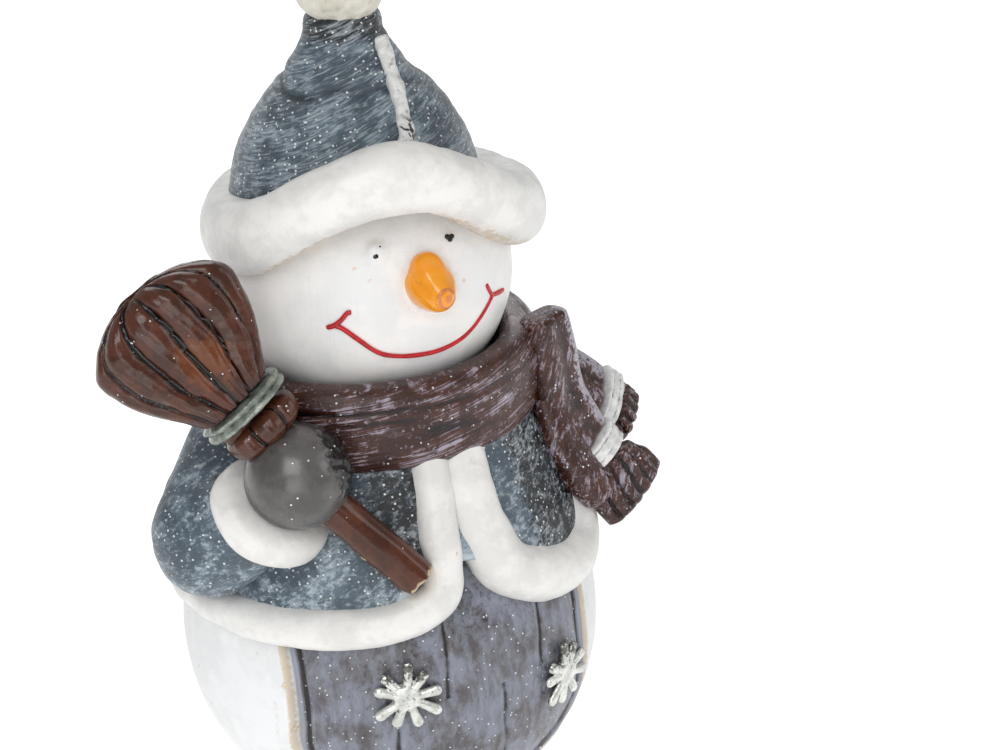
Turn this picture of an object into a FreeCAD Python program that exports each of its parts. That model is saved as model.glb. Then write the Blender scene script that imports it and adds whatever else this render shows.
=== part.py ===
import math
import os

import FreeCAD
import Part

# Painted cast snowman figurine with a broom. Millimetres, +Z up, front towards -Y.
# The origin is the centre of the felt's underside. Azimuth is measured from the
# front (-Y) towards the figure's left (+X), latitude up from a ball's equator.

V = FreeCAD.Vector

# Joints
glue_gap = 0.1          # clearance on every glued seat and spigot
peg_clearance = 0.3     # empty depth left past the end of a peg

# Belly and base
belly_radius = 29.4
foot_radius = 19.2      # flat that the casting stands on
felt_thickness = 1.0
felt_margin = 0.8       # felt stops this far inside the foot's edge
post_radius = 7.0       # neck post cast on the belly
post_into_head = 10.0

# Planked panel on the belly
panel_depth = 1.1
panel_groove = 0.5      # dark gap round the panel
panel_half_width = 20.9
panel_offset = 0.1      # towards the figure's left
panel_top_latitude = 42.0
panel_foot_latitude = -41.0
panel_corner_latitude = -9.0
panel_bend = (0.74, 0.62)   # the foot curve's bend: share of the half width, share of the drop
plank_joint_width = 0.5
plank_joint_depth = 0.45
upper_plank_azimuths = (-4.0, 27.5)
lower_plank_azimuths = (-19.0, 13.0)
plank_row_latitude = 2.0

# Snowflake charms
charm_radius = 5.2
charm_thickness = 1.4
charm_arm_width = 1.15
charm_arms = 8
charm_hub_radius = 1.9
charm_peg_radius = 0.8
charm_peg_length = 2.2
charm_bar = (0.66, 0.8, 2.1)    # cross bar: place along the arm, width and length in arm widths
charm_seats = {"snowflake_right": (-15.2, 4.9), "snowflake_left": (33.0, -3.9)}

# Head and face
head_radius = 20.3
neck_length = 3.4       # gap between the belly ball and the head ball
nose_seat = (8.0, 9.5)
nose_sink = 1.0         # the cone starts this far below the head's skin
nose_stub = 0.6         # the peg starts this far above it
nose_aim = (7.0, -9.0)
nose_base_radius = 3.7
nose_tip_radius = 1.9
nose_length = 4.9
nose_peg_radius = 1.4
nose_peg_length = 3.0
eye_seats = ((-12.0, 24.0), (20.0, 24.0))
eye_radius = 0.75
eye_proud = 0.3
mouth_points = ((-28.0, -1.5), (2.0, -17.2), (37.5, -2.0))
mouth_bead_radius = 0.45
smile_tick_span = 4.3   # degrees either side of the smile's end
smile_tick_rise = 2.7

# Hat: radius and height above the head's centre, then the tilt of its open foot
hat_profile = ((17.6, 5.2), (17.4, 9.6), (16.2, 15.2), (14.2, 20.2), (11.4, 24.3), (7.9, 28.5),
               (5.5, 32.2), (4.9, 35.0))
hat_foot_rise = 10.4
hat_foot_tilt = 12.0    # degrees
hat_foot_azimuth = -20.0    # the side where the foot is highest
hat_peg_radius = 1.8
hat_peg_length = 4.0
# Brim stations: azimuth, centre line's distance inside or outside the head's radius,
# its rise above the head's centre, and the roll's half height
brim_stations = ((0, -0.4, 18.5, 4.6), (13, -0.3, 17.1, 4.8), (30, -0.1, 13.7, 5.1), (46, 0.2, 10.2, 5.2),
                 (68, 0.4, 6.8, 5.3), (95, 0.1, 5.8, 5.2), (130, -0.6, 6.2, 4.9), (165, -1.4, 7.0, 4.8),
                 (200, -2.1, 7.2, 4.8), (235, -3.6, 7.2, 4.8), (265, -3.4, 7.8, 4.8), (290, -1.9, 9.2, 5.0),
                 (305, -1.1, 11.0, 5.1), (318, -0.7, 14.0, 4.9), (331, -0.5, 16.5, 4.6), (345, -0.4, 18.2, 4.6))
brim_half_depth = 4.5
seam_radius = 0.9
seam_sink = 0.3         # share of the seam's radius that stands inside the hat's line
seam_points = ((12.0, 20.0), (18.0, 24.4), (27.0, 28.6), (38.0, 32.6))
pompom_radius = 6.4
pompom_sink = 1.4       # how far the ball sits down over the hat's tip

# Jacket
jacket_hem_latitude = 23.0
jacket_hem_wall = 1.9
jacket_mid_latitude = 42.0
jacket_mid_wall = 5.2
jacket_neck_radius = 19.6
jacket_neck_rise = 4.4  # top of the collar above the head ball's lowest point
notch_radius = 8.0      # opening at the foot of the front edges
notch_latitude = 22.0
right_trim_radius = 2.9
right_trim_sink = 0.6   # trim's centre line below the jacket's skin
left_trim_radius = 3.9
left_trim_sink = 1.8

# Arms
sleeve_radius = 8.2
shoulder_radius = 7.6
wrist_radius = 6.6
# Azimuth, latitude and distance outside the belly's ball
right_shoulder = (-84.0, 57.0, 7.0)
right_elbow = (-70.0, 38.0, 7.2)
right_wrist = (-49.5, 45.7, 10.3)
right_mitten = (-39.4, 50.6, 15.5)
left_shoulder = (110.0, 53.0, 6.0)
left_elbow = (119.0, 36.0, 5.6)
left_wrist = (126.0, 24.0, 6.2)
left_mitten = (133.0, 12.0, 7.0)
left_arm_radius = 6.2
left_wrist_radius = 5.6
cuff_radius = 8.2
cuff_height = 6.6
cuff_round = 3.0
left_cuff_radius = 8.0
mitten_radius = 7.0
left_mitten_radius = 6.4
arm_peg_radius = 2.4
arm_peg_length = 4.0
shoulder_peg_droop = 0.2    # fall of the shoulder's peg

# Broom
broom_direction = V(-0.571, 0.260, 0.779)
broom_face = V(-0.168, -0.966, 0.199)
handle_direction = V(-0.626, 0.274, 0.731)
handle_radius = 2.7
handle_below_hand = 21.9
handle_above_hand = 18.0
bundle_offset = 1.6     # the bristles sit this far to one side of the handle
collar_start = 5.6
collar_end = 10.2
tie_length = 2.8
fan_length = 15.9
fan_neck_half_width = 5.6
fan_neck_half_depth = 4.2
fan_half_width = 11.3
fan_half_depth = 4.7
tie_proud = 0.7
collar_narrow = (0.86, 1.05)    # collar's first section as shares of the neck's half width and depth
# Fan stations: share of its length, then shares of its half width and half depth
fan_stations = ((0.3, 0.76, 0.94), (0.65, 0.98, 1.0), (0.88, 0.97, 0.86), (1.0, 0.84, 0.5))

# Scarf
scarf_bulge = 3.2       # scarf's outside beyond the head's radius
scarf_height = 12.0
scarf_top_drop = 9.2    # top of the scarf below the head's centre
scarf_round = 4.6
tail_peg_radius = 1.4
tail_peg_depth = 2.5


def ball_point(centre, radius, azimuth, latitude, standoff=0.0):
    a = math.radians(azimuth)
    b = math.radians(latitude)
    aim = V(math.sin(a) * math.cos(b), -math.cos(a) * math.cos(b), math.sin(b))
    return centre + aim * (radius + standoff)


belly_centre = V(0, 0, felt_thickness + math.sqrt(belly_radius ** 2 - foot_radius ** 2))
head_centre = belly_centre + V(0, 0, belly_radius + neck_length + head_radius)
head_foot = head_centre.z - head_radius
hat_tip = head_centre + V(0, 0, hat_profile[-1][1])
pompom_centre = hat_tip + V(0, 0, pompom_radius - pompom_sink)


def on_belly(azimuth, latitude, standoff=0.0):
    return ball_point(belly_centre, belly_radius, azimuth, latitude, standoff)


def on_head(azimuth, latitude, standoff=0.0):
    return ball_point(head_centre, head_radius, azimuth, latitude, standoff)


def ball(centre, radius):
    return Part.makeSphere(radius, centre)


def rod(start, end, radius):
    return Part.makeCylinder(radius, (end - start).Length, start, end - start)


def taper(start, end, start_radius, end_radius):
    if abs(start_radius - end_radius) < 1e-6:
        return rod(start, end, start_radius)
    return Part.makeCone(start_radius, end_radius, (end - start).Length, start, end - start)


def peg(start, direction, radius, length):
    return Part.makeCylinder(radius, length, start, direction)


def smooth_wire(points, closed=False):
    curve = Part.BSplineCurve()
    curve.interpolate(points, PeriodicFlag=closed)
    return Part.Wire([curve.toShape()])


def bead(points, radius, closed=False):
    # Round bar swept along a smooth line through the points
    path = smooth_wire(points, closed)
    edge = path.Edges[0]
    start = edge.valueAt(edge.FirstParameter)
    tangent = edge.tangentAt(edge.FirstParameter)
    section = Part.Wire([Part.makeCircle(radius, start, tangent)])
    return Part.Solid(path.makePipeShell([section], True, True))


def turned(profile, centre=V(0, 0, 0)):
    # Solid of revolution about the vertical through centre: profile is a list of edges or a wire
    face = Part.Face(Part.Wire(profile))
    solid = face.revolve(V(0, 0, 0), V(0, 0, 1), 360)
    solid.translate(centre)
    return solid


def edge_line(*points):
    return [Part.makeLine(a, b) for a, b in zip(points, points[1:])]


def ellipse_wire(centre, long_axis, short_axis, half_long, half_short):
    if half_short > half_long:
        long_axis, short_axis = short_axis, long_axis
        half_long, half_short = half_short, half_long
    ellipse = Part.Ellipse(centre + long_axis * half_long, centre + short_axis * half_short, centre)
    return Part.Wire([ellipse.toShape()])


def through(sections):
    return Part.makeLoft(sections, True, False)


# Belly, felt, panel and charms

def belly_ball(grow=0.0):
    return ball(belly_centre, belly_radius + grow)


def neck_post(grow=0.0, length_grow=0.0):
    top = head_foot + post_into_head + length_grow
    return Part.makeCylinder(post_radius + grow, top - belly_centre.z, belly_centre)


def panel_outline(grow=0.0):
    # Front view of the panel: upright sides, closing to a rounded foot
    half = panel_half_width + grow
    middle = panel_offset
    top = on_belly(0, panel_top_latitude).z + grow
    corner = on_belly(0, panel_corner_latitude).z
    foot = on_belly(0, panel_foot_latitude).z - grow
    y = -belly_radius - 5
    left, right = V(middle - half, y, corner), V(middle + half, y, corner)
    bend_reach, bend_z = half * panel_bend[0], corner - (corner - foot) * panel_bend[1]
    curve = Part.BSplineCurve()
    curve.interpolate([left, V(middle - bend_reach, y, bend_z), V(middle, y, foot),
                       V(middle + bend_reach, y, bend_z), right],
                      InitialTangent=V(0, 0, -1), FinalTangent=V(0, 0, 1))
    sides = edge_line(right, V(middle + half, y, top), V(middle - half, y, top), left)
    face = Part.Face(Part.Wire([curve.toShape()] + sides))
    return face.extrude(V(0, belly_radius + 5, 0))


def plank_joint(azimuth, low_latitude, high_latitude):
    # Thin upright cutter on the panel's skin between two latitudes
    low = on_belly(azimuth, low_latitude)
    high = on_belly(azimuth, high_latitude)
    outward = on_belly(azimuth, 0) - belly_centre
    side = V(outward.y, -outward.x, 0).normalize()
    reach = outward.normalize() * (belly_radius * 0.5)
    foot = low - reach
    half, rise = side * (plank_joint_width / 2), V(0, 0, high.z - low.z)
    slab = Part.makePolygon([foot + half, foot - half, foot - half + rise, foot + half + rise, foot + half])
    block = Part.Face(slab).extrude(reach * 3)
    return block.cut(ball(belly_centre, belly_radius - plank_joint_depth))


def make_panel():
    skin = belly_ball().cut(ball(belly_centre, belly_radius - panel_depth + glue_gap))
    panel = panel_outline().common(skin)
    for azimuth in upper_plank_azimuths:
        panel = panel.cut(plank_joint(azimuth, plank_row_latitude, panel_top_latitude))
    for azimuth in lower_plank_azimuths:
        panel = panel.cut(plank_joint(azimuth, panel_foot_latitude, plank_row_latitude))
    for seat in charm_seats.values():
        panel = panel.cut(charm_peg(seat, glue_gap, peg_clearance))
    return panel


def charm_peg(seat, grow=0.0, length_grow=0.0):
    start = on_belly(*seat)
    inward = belly_centre - start
    return peg(start, inward, charm_peg_radius + grow, charm_peg_length + length_grow)


def make_charm(seat):
    # Flat star of square arms round a hub, with a short cross bar near each arm's end
    star = Part.makeCylinder(charm_hub_radius, charm_thickness)
    for index in range(charm_arms):
        arm = Part.makeBox(charm_radius, charm_arm_width, charm_thickness, V(0, -charm_arm_width / 2, 0))
        place, bar_width, bar_length = charm_bar
        bar = Part.makeBox(charm_arm_width * bar_width, charm_arm_width * bar_length, charm_thickness,
                           V(charm_radius * place, -charm_arm_width * bar_length / 2, 0))
        arm = arm.fuse(bar)
        arm.rotate(V(0, 0, 0), V(0, 0, 1), index * 360.0 / charm_arms)
        star = star.fuse(arm)
    outward = on_belly(*seat) - belly_centre
    star.Placement = FreeCAD.Placement(on_belly(*seat, glue_gap), FreeCAD.Rotation(V(0, 0, 1), outward))
    root = charm_thickness / 2
    stub = peg(on_belly(*seat, glue_gap + root), -outward, charm_peg_radius,
               charm_peg_length + glue_gap + root)
    return star.fuse(stub).removeSplitter()


def make_belly():
    floor = Part.makeBox(4 * belly_radius, 4 * belly_radius, 2 * belly_radius,
                         V(-2 * belly_radius, -2 * belly_radius, felt_thickness - 2 * belly_radius))
    casting = belly_ball().fuse(neck_post()).cut(floor)
    recess = panel_outline(panel_groove).cut(ball(belly_centre, belly_radius - panel_depth))
    casting = casting.cut(recess)
    for seat in charm_seats.values():
        casting = casting.cut(charm_peg(seat, glue_gap, peg_clearance))
    return casting


def make_felt():
    return Part.makeCylinder(foot_radius - felt_margin, felt_thickness)


# Head, face and hat

def head_ball(grow=0.0):
    return ball(head_centre, head_radius + grow)


def nose_peg(grow=0.0, length_grow=0.0):
    start = on_head(*nose_seat)
    return peg(start, head_centre - start, nose_peg_radius + grow, nose_peg_length + length_grow)


def make_nose():
    root = on_head(*nose_seat, -nose_sink)
    aim = ball_point(V(0, 0, 0), 1.0, *nose_aim)
    tip = root + aim * nose_length
    body = taper(root, tip, nose_base_radius, nose_tip_radius)
    body = body.fuse(ball(tip, nose_tip_radius)).cut(head_ball(glue_gap))
    stub = peg(on_head(*nose_seat, nose_stub), head_centre - on_head(*nose_seat), nose_peg_radius,
               nose_peg_length + nose_stub)
    return body.fuse(stub)


def make_eyes():
    beads = []
    for seat in eye_seats:
        beads.append(ball(on_head(*seat, eye_proud - eye_radius), eye_radius))
    return beads


def mouth_arc():
    a, b, c = [on_head(azimuth, latitude) for azimuth, latitude in mouth_points]
    return Part.Arc(a, b, c)


def make_mouth():
    # A raised bead of paint: the smile and a short stroke across each end
    arc = mouth_arc().toShape()
    section = Part.Wire([Part.makeCircle(mouth_bead_radius, arc.valueAt(arc.FirstParameter),
                                         arc.tangentAt(arc.FirstParameter))])
    smile = Part.Wire([arc]).makePipeShell([section], True, True)
    smile = Part.Solid(smile)
    for end, lean in ((mouth_points[0], 1), (mouth_points[2], -1)):
        outer = on_head(end[0] - lean * smile_tick_span, end[1] - smile_tick_rise)
        inner = on_head(end[0] + lean * smile_tick_span, end[1] + smile_tick_rise)
        smile = smile.fuse(rod(outer, inner, mouth_bead_radius))
    return smile.cut(head_ball(glue_gap / 4))


def make_head():
    head = head_ball().cut(neck_post(glue_gap, peg_clearance))
    head = head.cut(nose_peg(glue_gap, peg_clearance))
    for eye in make_eyes():
        head = head.cut(ball(eye.CenterOfMass, eye_radius + glue_gap / 2))
    return head


def hat_body(grow=0.0):
    points = [V(radius + grow, 0, height) for radius, height in hat_profile]
    curve = Part.BSplineCurve()
    curve.interpolate(points)
    low, high = points[0].z, points[-1].z
    sides = edge_line(points[-1], V(0, 0, high), V(0, 0, low), points[0])
    cone = turned([curve.toShape()] + sides, head_centre)
    # Everything below the tilted foot goes
    span = 4 * head_radius
    below = Part.makeBox(span, span, span, V(-span / 2, -span / 2, -span))
    high_side = math.radians(hat_foot_azimuth)
    below.rotate(V(0, 0, 0), V(math.cos(high_side), math.sin(high_side), 0), -hat_foot_tilt)
    below.translate(head_centre + V(0, 0, hat_foot_rise - grow))
    return cone.cut(below)


def hat_peg(grow=0.0, length_grow=0.0):
    return Part.makeCylinder(hat_peg_radius + grow, hat_peg_length + length_grow, hat_tip)


def make_hat():
    return hat_body().fuse(hat_peg()).cut(head_ball(glue_gap))


def brim_roll(grow=0.0):
    # Arched over the face, lower behind and on the broom's side
    sections = []
    for azimuth, inset, rise, half_height in brim_stations:
        spot = on_head(azimuth, 0, inset) + V(0, 0, rise)
        outward = ball_point(V(0, 0, 0), 1, azimuth, 0)
        sections.append(ellipse_wire(spot, V(0, 0, 1), outward, half_height + grow, brim_half_depth + grow))
    return Part.makeLoft(sections, True, False, True)


def make_brim():
    return brim_roll().cut(head_ball(glue_gap)).cut(hat_body(glue_gap))


def hat_radius_at(height):
    for (r0, z0), (r1, z1) in zip(hat_profile, hat_profile[1:]):
        if z0 <= height <= z1:
            return r0 + (r1 - r0) * (height - z0) / (z1 - z0)
    return hat_profile[-1][0]


def make_seam():
    points = []
    for azimuth, height in seam_points:
        spot = ball_point(head_centre, hat_radius_at(height) + seam_radius * seam_sink, azimuth, 0)
        points.append(spot + V(0, 0, height))
    return bead(points, seam_radius).cut(hat_body(glue_gap / 2)).cut(brim_roll(glue_gap))


def make_pompom():
    return ball(pompom_centre, pompom_radius).cut(hat_body(glue_gap)).cut(hat_peg(glue_gap, peg_clearance))


# Jacket and its rolled trim

def jacket_shell(grow=0.0):
    hem = ball_point(V(0, 0, 0), belly_radius, 90, jacket_hem_latitude, jacket_hem_wall + grow)
    mid = ball_point(V(0, 0, 0), belly_radius, 90, jacket_mid_latitude, jacket_mid_wall + grow)
    neck_z = head_foot + jacket_neck_rise - belly_centre.z + grow
    neck = V(jacket_neck_radius + grow, 0, neck_z)
    low = hem.z - grow
    skin = Part.Arc(V(hem.x, 0, low), V(mid.x, 0, mid.z), neck).toShape()
    sides = edge_line(neck, V(0, 0, neck_z), V(0, 0, low), V(hem.x, 0, low))
    return turned([skin] + sides, belly_centre)


def front_notch():
    centre = on_belly(3, notch_latitude)
    return Part.makeCylinder(notch_radius, belly_radius * 2, V(centre.x, 0, centre.z), V(0, -1, 0))


def jacket_skin_radius(height):
    # Distance of the jacket's skin from the axis at a height above the belly's centre
    hem = ball_point(V(0, 0, 0), belly_radius, 90, jacket_hem_latitude, jacket_hem_wall)
    mid = ball_point(V(0, 0, 0), belly_radius, 90, jacket_mid_latitude, jacket_mid_wall)
    neck_z = head_foot + jacket_neck_rise - belly_centre.z
    if height < mid.z:
        share = (height - hem.z) / (mid.z - hem.z)
        return hem.x + (mid.x - hem.x) * share
    share = (height - mid.z) / (neck_z - mid.z)
    return mid.x + (jacket_neck_radius - mid.x) * share


def trim_line(neck_azimuth, seats, sink):
    # From the neck down the front edge and along the hem; seats are azimuths and latitudes
    height = head_foot + jacket_neck_rise - belly_centre.z
    points = [ball_point(belly_centre, jacket_neck_radius - sink, neck_azimuth, 0) + V(0, 0, height)]
    for azimuth, latitude in seats:
        height = on_belly(0, latitude).z - belly_centre.z
        skin = ball_point(belly_centre, jacket_skin_radius(height) - sink, azimuth, 0)
        points.append(skin + V(0, 0, height))
    return points


def right_trim(grow=0.0):
    seats = [(-1, 58), (-1, 42), (-4.5, 31), (-20, 25.5)]
    seats += [(azimuth, 24) for azimuth in range(-45, -290, -24)]
    return bead(trim_line(2, seats, right_trim_sink), right_trim_radius + grow)


def left_trim(grow=0.0):
    seats = [(13, 60), (15, 45), (20, 33), (32, 26), (47, 23), (59, 26), (66, 36), (68, 50)]
    return bead(trim_line(16, seats, left_trim_sink), left_trim_radius + grow)


def seat_trim(trim, *covers):
    trim = trim.cut(jacket_shell(glue_gap)).cut(belly_ball(glue_gap))
    for cover in covers:
        trim = trim.cut(cover)
    return largest(trim)


def largest(shape):
    return max(shape.Solids, key=lambda solid: solid.Volume)


# Arms: sleeve, cuff and mitten

class Arm:
    def __init__(self, shoulder, elbow, wrist, hand, sizes):
        self.shoulder, self.elbow = on_belly(*shoulder), on_belly(*elbow)
        self.wrist, self.hand = on_belly(*wrist), on_belly(*hand)
        self.shoulder_radius, self.elbow_radius, self.wrist_radius = sizes[:3]
        self.cuff_radius, self.hand_radius = sizes[3:]
        self.reach = (self.hand - self.wrist).normalize()

    def sleeve(self, grow=0.0):
        upper = taper(self.shoulder, self.elbow, self.shoulder_radius + grow, self.elbow_radius + grow)
        lower = taper(self.elbow, self.wrist, self.elbow_radius + grow, self.wrist_radius + grow)
        shoulder = ball(self.shoulder, self.shoulder_radius + grow)
        elbow = ball(self.elbow, self.elbow_radius + grow)
        return upper.fuse(lower).fuse(shoulder).fuse(elbow)

    def cuff(self, grow=0.0):
        foot = self.wrist - self.reach * (cuff_height / 2 + grow)
        roll = Part.makeCylinder(self.cuff_radius + grow, cuff_height + 2 * grow, foot, self.reach)
        return roll.makeFillet(cuff_round, [edge for edge in roll.Edges if len(edge.Vertexes) == 1])

    def mitten(self, grow=0.0):
        return ball(self.hand, self.hand_radius + grow)

    def wrist_peg(self, grow=0.0, length_grow=0.0):
        start = self.wrist - self.reach * (cuff_height / 2 + arm_peg_length + length_grow)
        return peg(start, self.reach, arm_peg_radius + grow, (self.hand - start).Length)

    def shoulder_peg(self, grow=0.0, length_grow=0.0):
        inward = V(-self.shoulder.x, -self.shoulder.y, -self.shoulder.Length * shoulder_peg_droop).normalize()
        length = self.shoulder_radius + arm_peg_length + length_grow
        return peg(self.shoulder, inward, arm_peg_radius + grow, length)


right_arm = Arm(right_shoulder, right_elbow, right_wrist, right_mitten,
                (shoulder_radius, sleeve_radius, wrist_radius, cuff_radius, mitten_radius))
left_arm = Arm(left_shoulder, left_elbow, left_wrist, left_mitten,
               (left_arm_radius, left_arm_radius, left_wrist_radius, left_cuff_radius, left_mitten_radius))


# Broom

def broom_point(along, across):
    side = broom_direction.cross(broom_face).normalize()
    return right_arm.hand + broom_direction * along + side * across


def broom_handle(grow=0.0, length_grow=0.0):
    hand = right_arm.hand
    return rod(hand - handle_direction * handle_below_hand,
               hand + handle_direction * (handle_above_hand + length_grow), handle_radius + grow)


def broom_section(along, half_width, half_depth):
    side = broom_direction.cross(broom_face).normalize()
    return ellipse_wire(broom_point(along, bundle_offset), side, broom_face, half_width, half_depth)


def make_fan():
    start = collar_end + tie_length + glue_gap
    sections = [broom_section(start, fan_neck_half_width, fan_neck_half_depth)]
    for share, width, depth in fan_stations:
        sections.append(broom_section(start + fan_length * share, fan_half_width * width,
                                      fan_half_depth * depth))
    fan = through(sections).cut(head_ball(glue_gap)).cut(brim_roll(glue_gap)).cut(scarf_ring(glue_gap))
    return fan.cut(broom_handle(glue_gap, peg_clearance))


def make_tie():
    width, depth = fan_neck_half_width + tie_proud, fan_neck_half_depth + tie_proud
    ring = through([broom_section(collar_end + glue_gap, width, depth),
                    broom_section(collar_end + tie_length, width, depth)])
    return ring.cut(broom_handle(glue_gap)).cut(scarf_ring(glue_gap))


def make_collar():
    width, depth = collar_narrow
    bundle = through([broom_section(collar_start, fan_neck_half_width * width, fan_neck_half_depth * depth),
                      broom_section(collar_end, fan_neck_half_width, fan_neck_half_depth)])
    bundle = bundle.cut(broom_handle(glue_gap)).cut(right_arm.mitten(glue_gap))
    return bundle.cut(scarf_ring(glue_gap))


# Scarf

def scarf_ring(grow=0.0):
    radius = head_radius + scarf_bulge + grow
    top = head_centre.z - scarf_top_drop + grow
    ring = Part.makeCylinder(radius, scarf_height + 2 * grow, V(0, 0, top - scarf_height - 2 * grow))
    return ring.makeFillet(scarf_round, [edge for edge in ring.Edges if len(edge.Vertexes) == 1])


def scarf_spot(azimuth, drop, out=0.0):
    # A point beside the scarf ring: drop below the head's centre, out beyond the ring's skin
    return ball_point(head_centre, head_radius + scarf_bulge + out, azimuth, 0) - V(0, 0, drop)


class Strip:
    # A flat scarf end along a chain of points: every section is an ellipse square to the chain
    def __init__(self, points, face):
        self.points = points
        self.face = face

    def along(self, index):
        before = self.points[max(index - 1, 0)]
        after = self.points[min(index + 1, len(self.points) - 1)]
        return (after - before).normalize()

    def section(self, index, half_width, half_depth, shift=0.0):
        along = self.along(index)
        side = along.cross(self.face).normalize()
        out = side.cross(along).normalize()
        return ellipse_wire(self.points[index] + along * shift, side, out, half_width, half_depth)

    def length(self, first, sizes, shift=0.0, grow=0.0):
        # Solid through consecutive sections; only its first section is shifted along the chain
        sections = []
        for step, (half_width, half_depth) in enumerate(sizes):
            start = shift if step == 0 else 0.0
            sections.append(self.section(first + step, half_width + grow, half_depth + grow, start))
        return through(sections)

    def core(self, knot, grow=0.0, length_grow=0.0):
        # Straight peg from the middle of the fringe, through the tie, into the tail
        points = self.points
        start = (points[knot - 1] + points[knot]) * 0.5
        end = (points[knot + 1] + points[knot + 2]) * 0.5
        reach = (end - start).normalize()
        return rod(start - reach * length_grow, end, tail_peg_radius + grow)


front_strip = Strip((scarf_spot(66, 8.2, 0.6), scarf_spot(67, 13.5, 0.9), scarf_spot(67, 20.5, 1.9),
                     scarf_spot(68, 24.6, 3.6), scarf_spot(68.6, 28.2, 5.8), scarf_spot(69.2, 31.1, 7.9),
                     scarf_spot(68.5, 34.0, 9.8), scarf_spot(68.5, 37.6, 12.6)), V(0.35, -0.9, 0.25))
front_tail_sizes = ((3.6, 2.4), (4.2, 3.0), (4.3, 3.0), (4.2, 2.9), (3.9, 2.8))
front_tie_sizes = ((4.2, 3.1), (4.2, 3.1))
front_fringe_sizes = ((4.2, 2.8), (6.2, 3.4), (6.2, 2.8))
back_strip = Strip((scarf_spot(82, 17.0, -1.0), scarf_spot(84, 21.5, 4.0), scarf_spot(84.5, 25.6, 8.6),
                    scarf_spot(84.8, 27.6, 10.8), scarf_spot(85, 30.4, 13.4)), V(0.8, -0.6, 0.1))
back_tail_sizes = ((4.6, 2.4), (4.8, 2.6), (4.8, 2.6))
back_tie_sizes = ((5.2, 3.0), (5.2, 3.0))
back_fringe_sizes = ((4.9, 2.7), (5.0, 2.8))


def front_tail(grow=0.0):
    return front_strip.length(0, front_tail_sizes, 0, grow)


def front_tail_peg(grow=0.0, length_grow=0.0):
    # Holds the front end against the scarf's ring
    start = front_strip.points[1]
    inward = V(-start.x, -start.y, 0)
    return peg(start, inward, tail_peg_radius + grow, scarf_bulge + tail_peg_depth + length_grow)


def back_tail_peg(grow=0.0, length_grow=0.0):
    start = back_strip.points[0]
    reach = (start - back_strip.points[1]).normalize()
    return peg(start - reach, reach, tail_peg_radius + grow, 1 + tail_peg_depth + length_grow)


def make_tail_pieces(strip, tail, sizes, shoulder_peg, seats):
    # Tail, tie and fringe of one scarf end; the fringe's peg runs through the tie into the tail
    tie_sizes, fringe_sizes, knot = sizes
    tie = strip.length(knot, tie_sizes, glue_gap)
    fringe = strip.length(knot + 1, fringe_sizes, glue_gap)
    fringe = fringe.fuse(strip.core(knot))
    tie = tie.cut(strip.core(knot, glue_gap))
    tail = tail.cut(strip.core(knot, glue_gap, peg_clearance))
    for seat in seats:
        tail, tie, fringe = largest(tail.cut(seat)), largest(tie.cut(seat)), largest(fringe.cut(seat))
    return tail.fuse(shoulder_peg), tie, fringe


# Assembly

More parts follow.
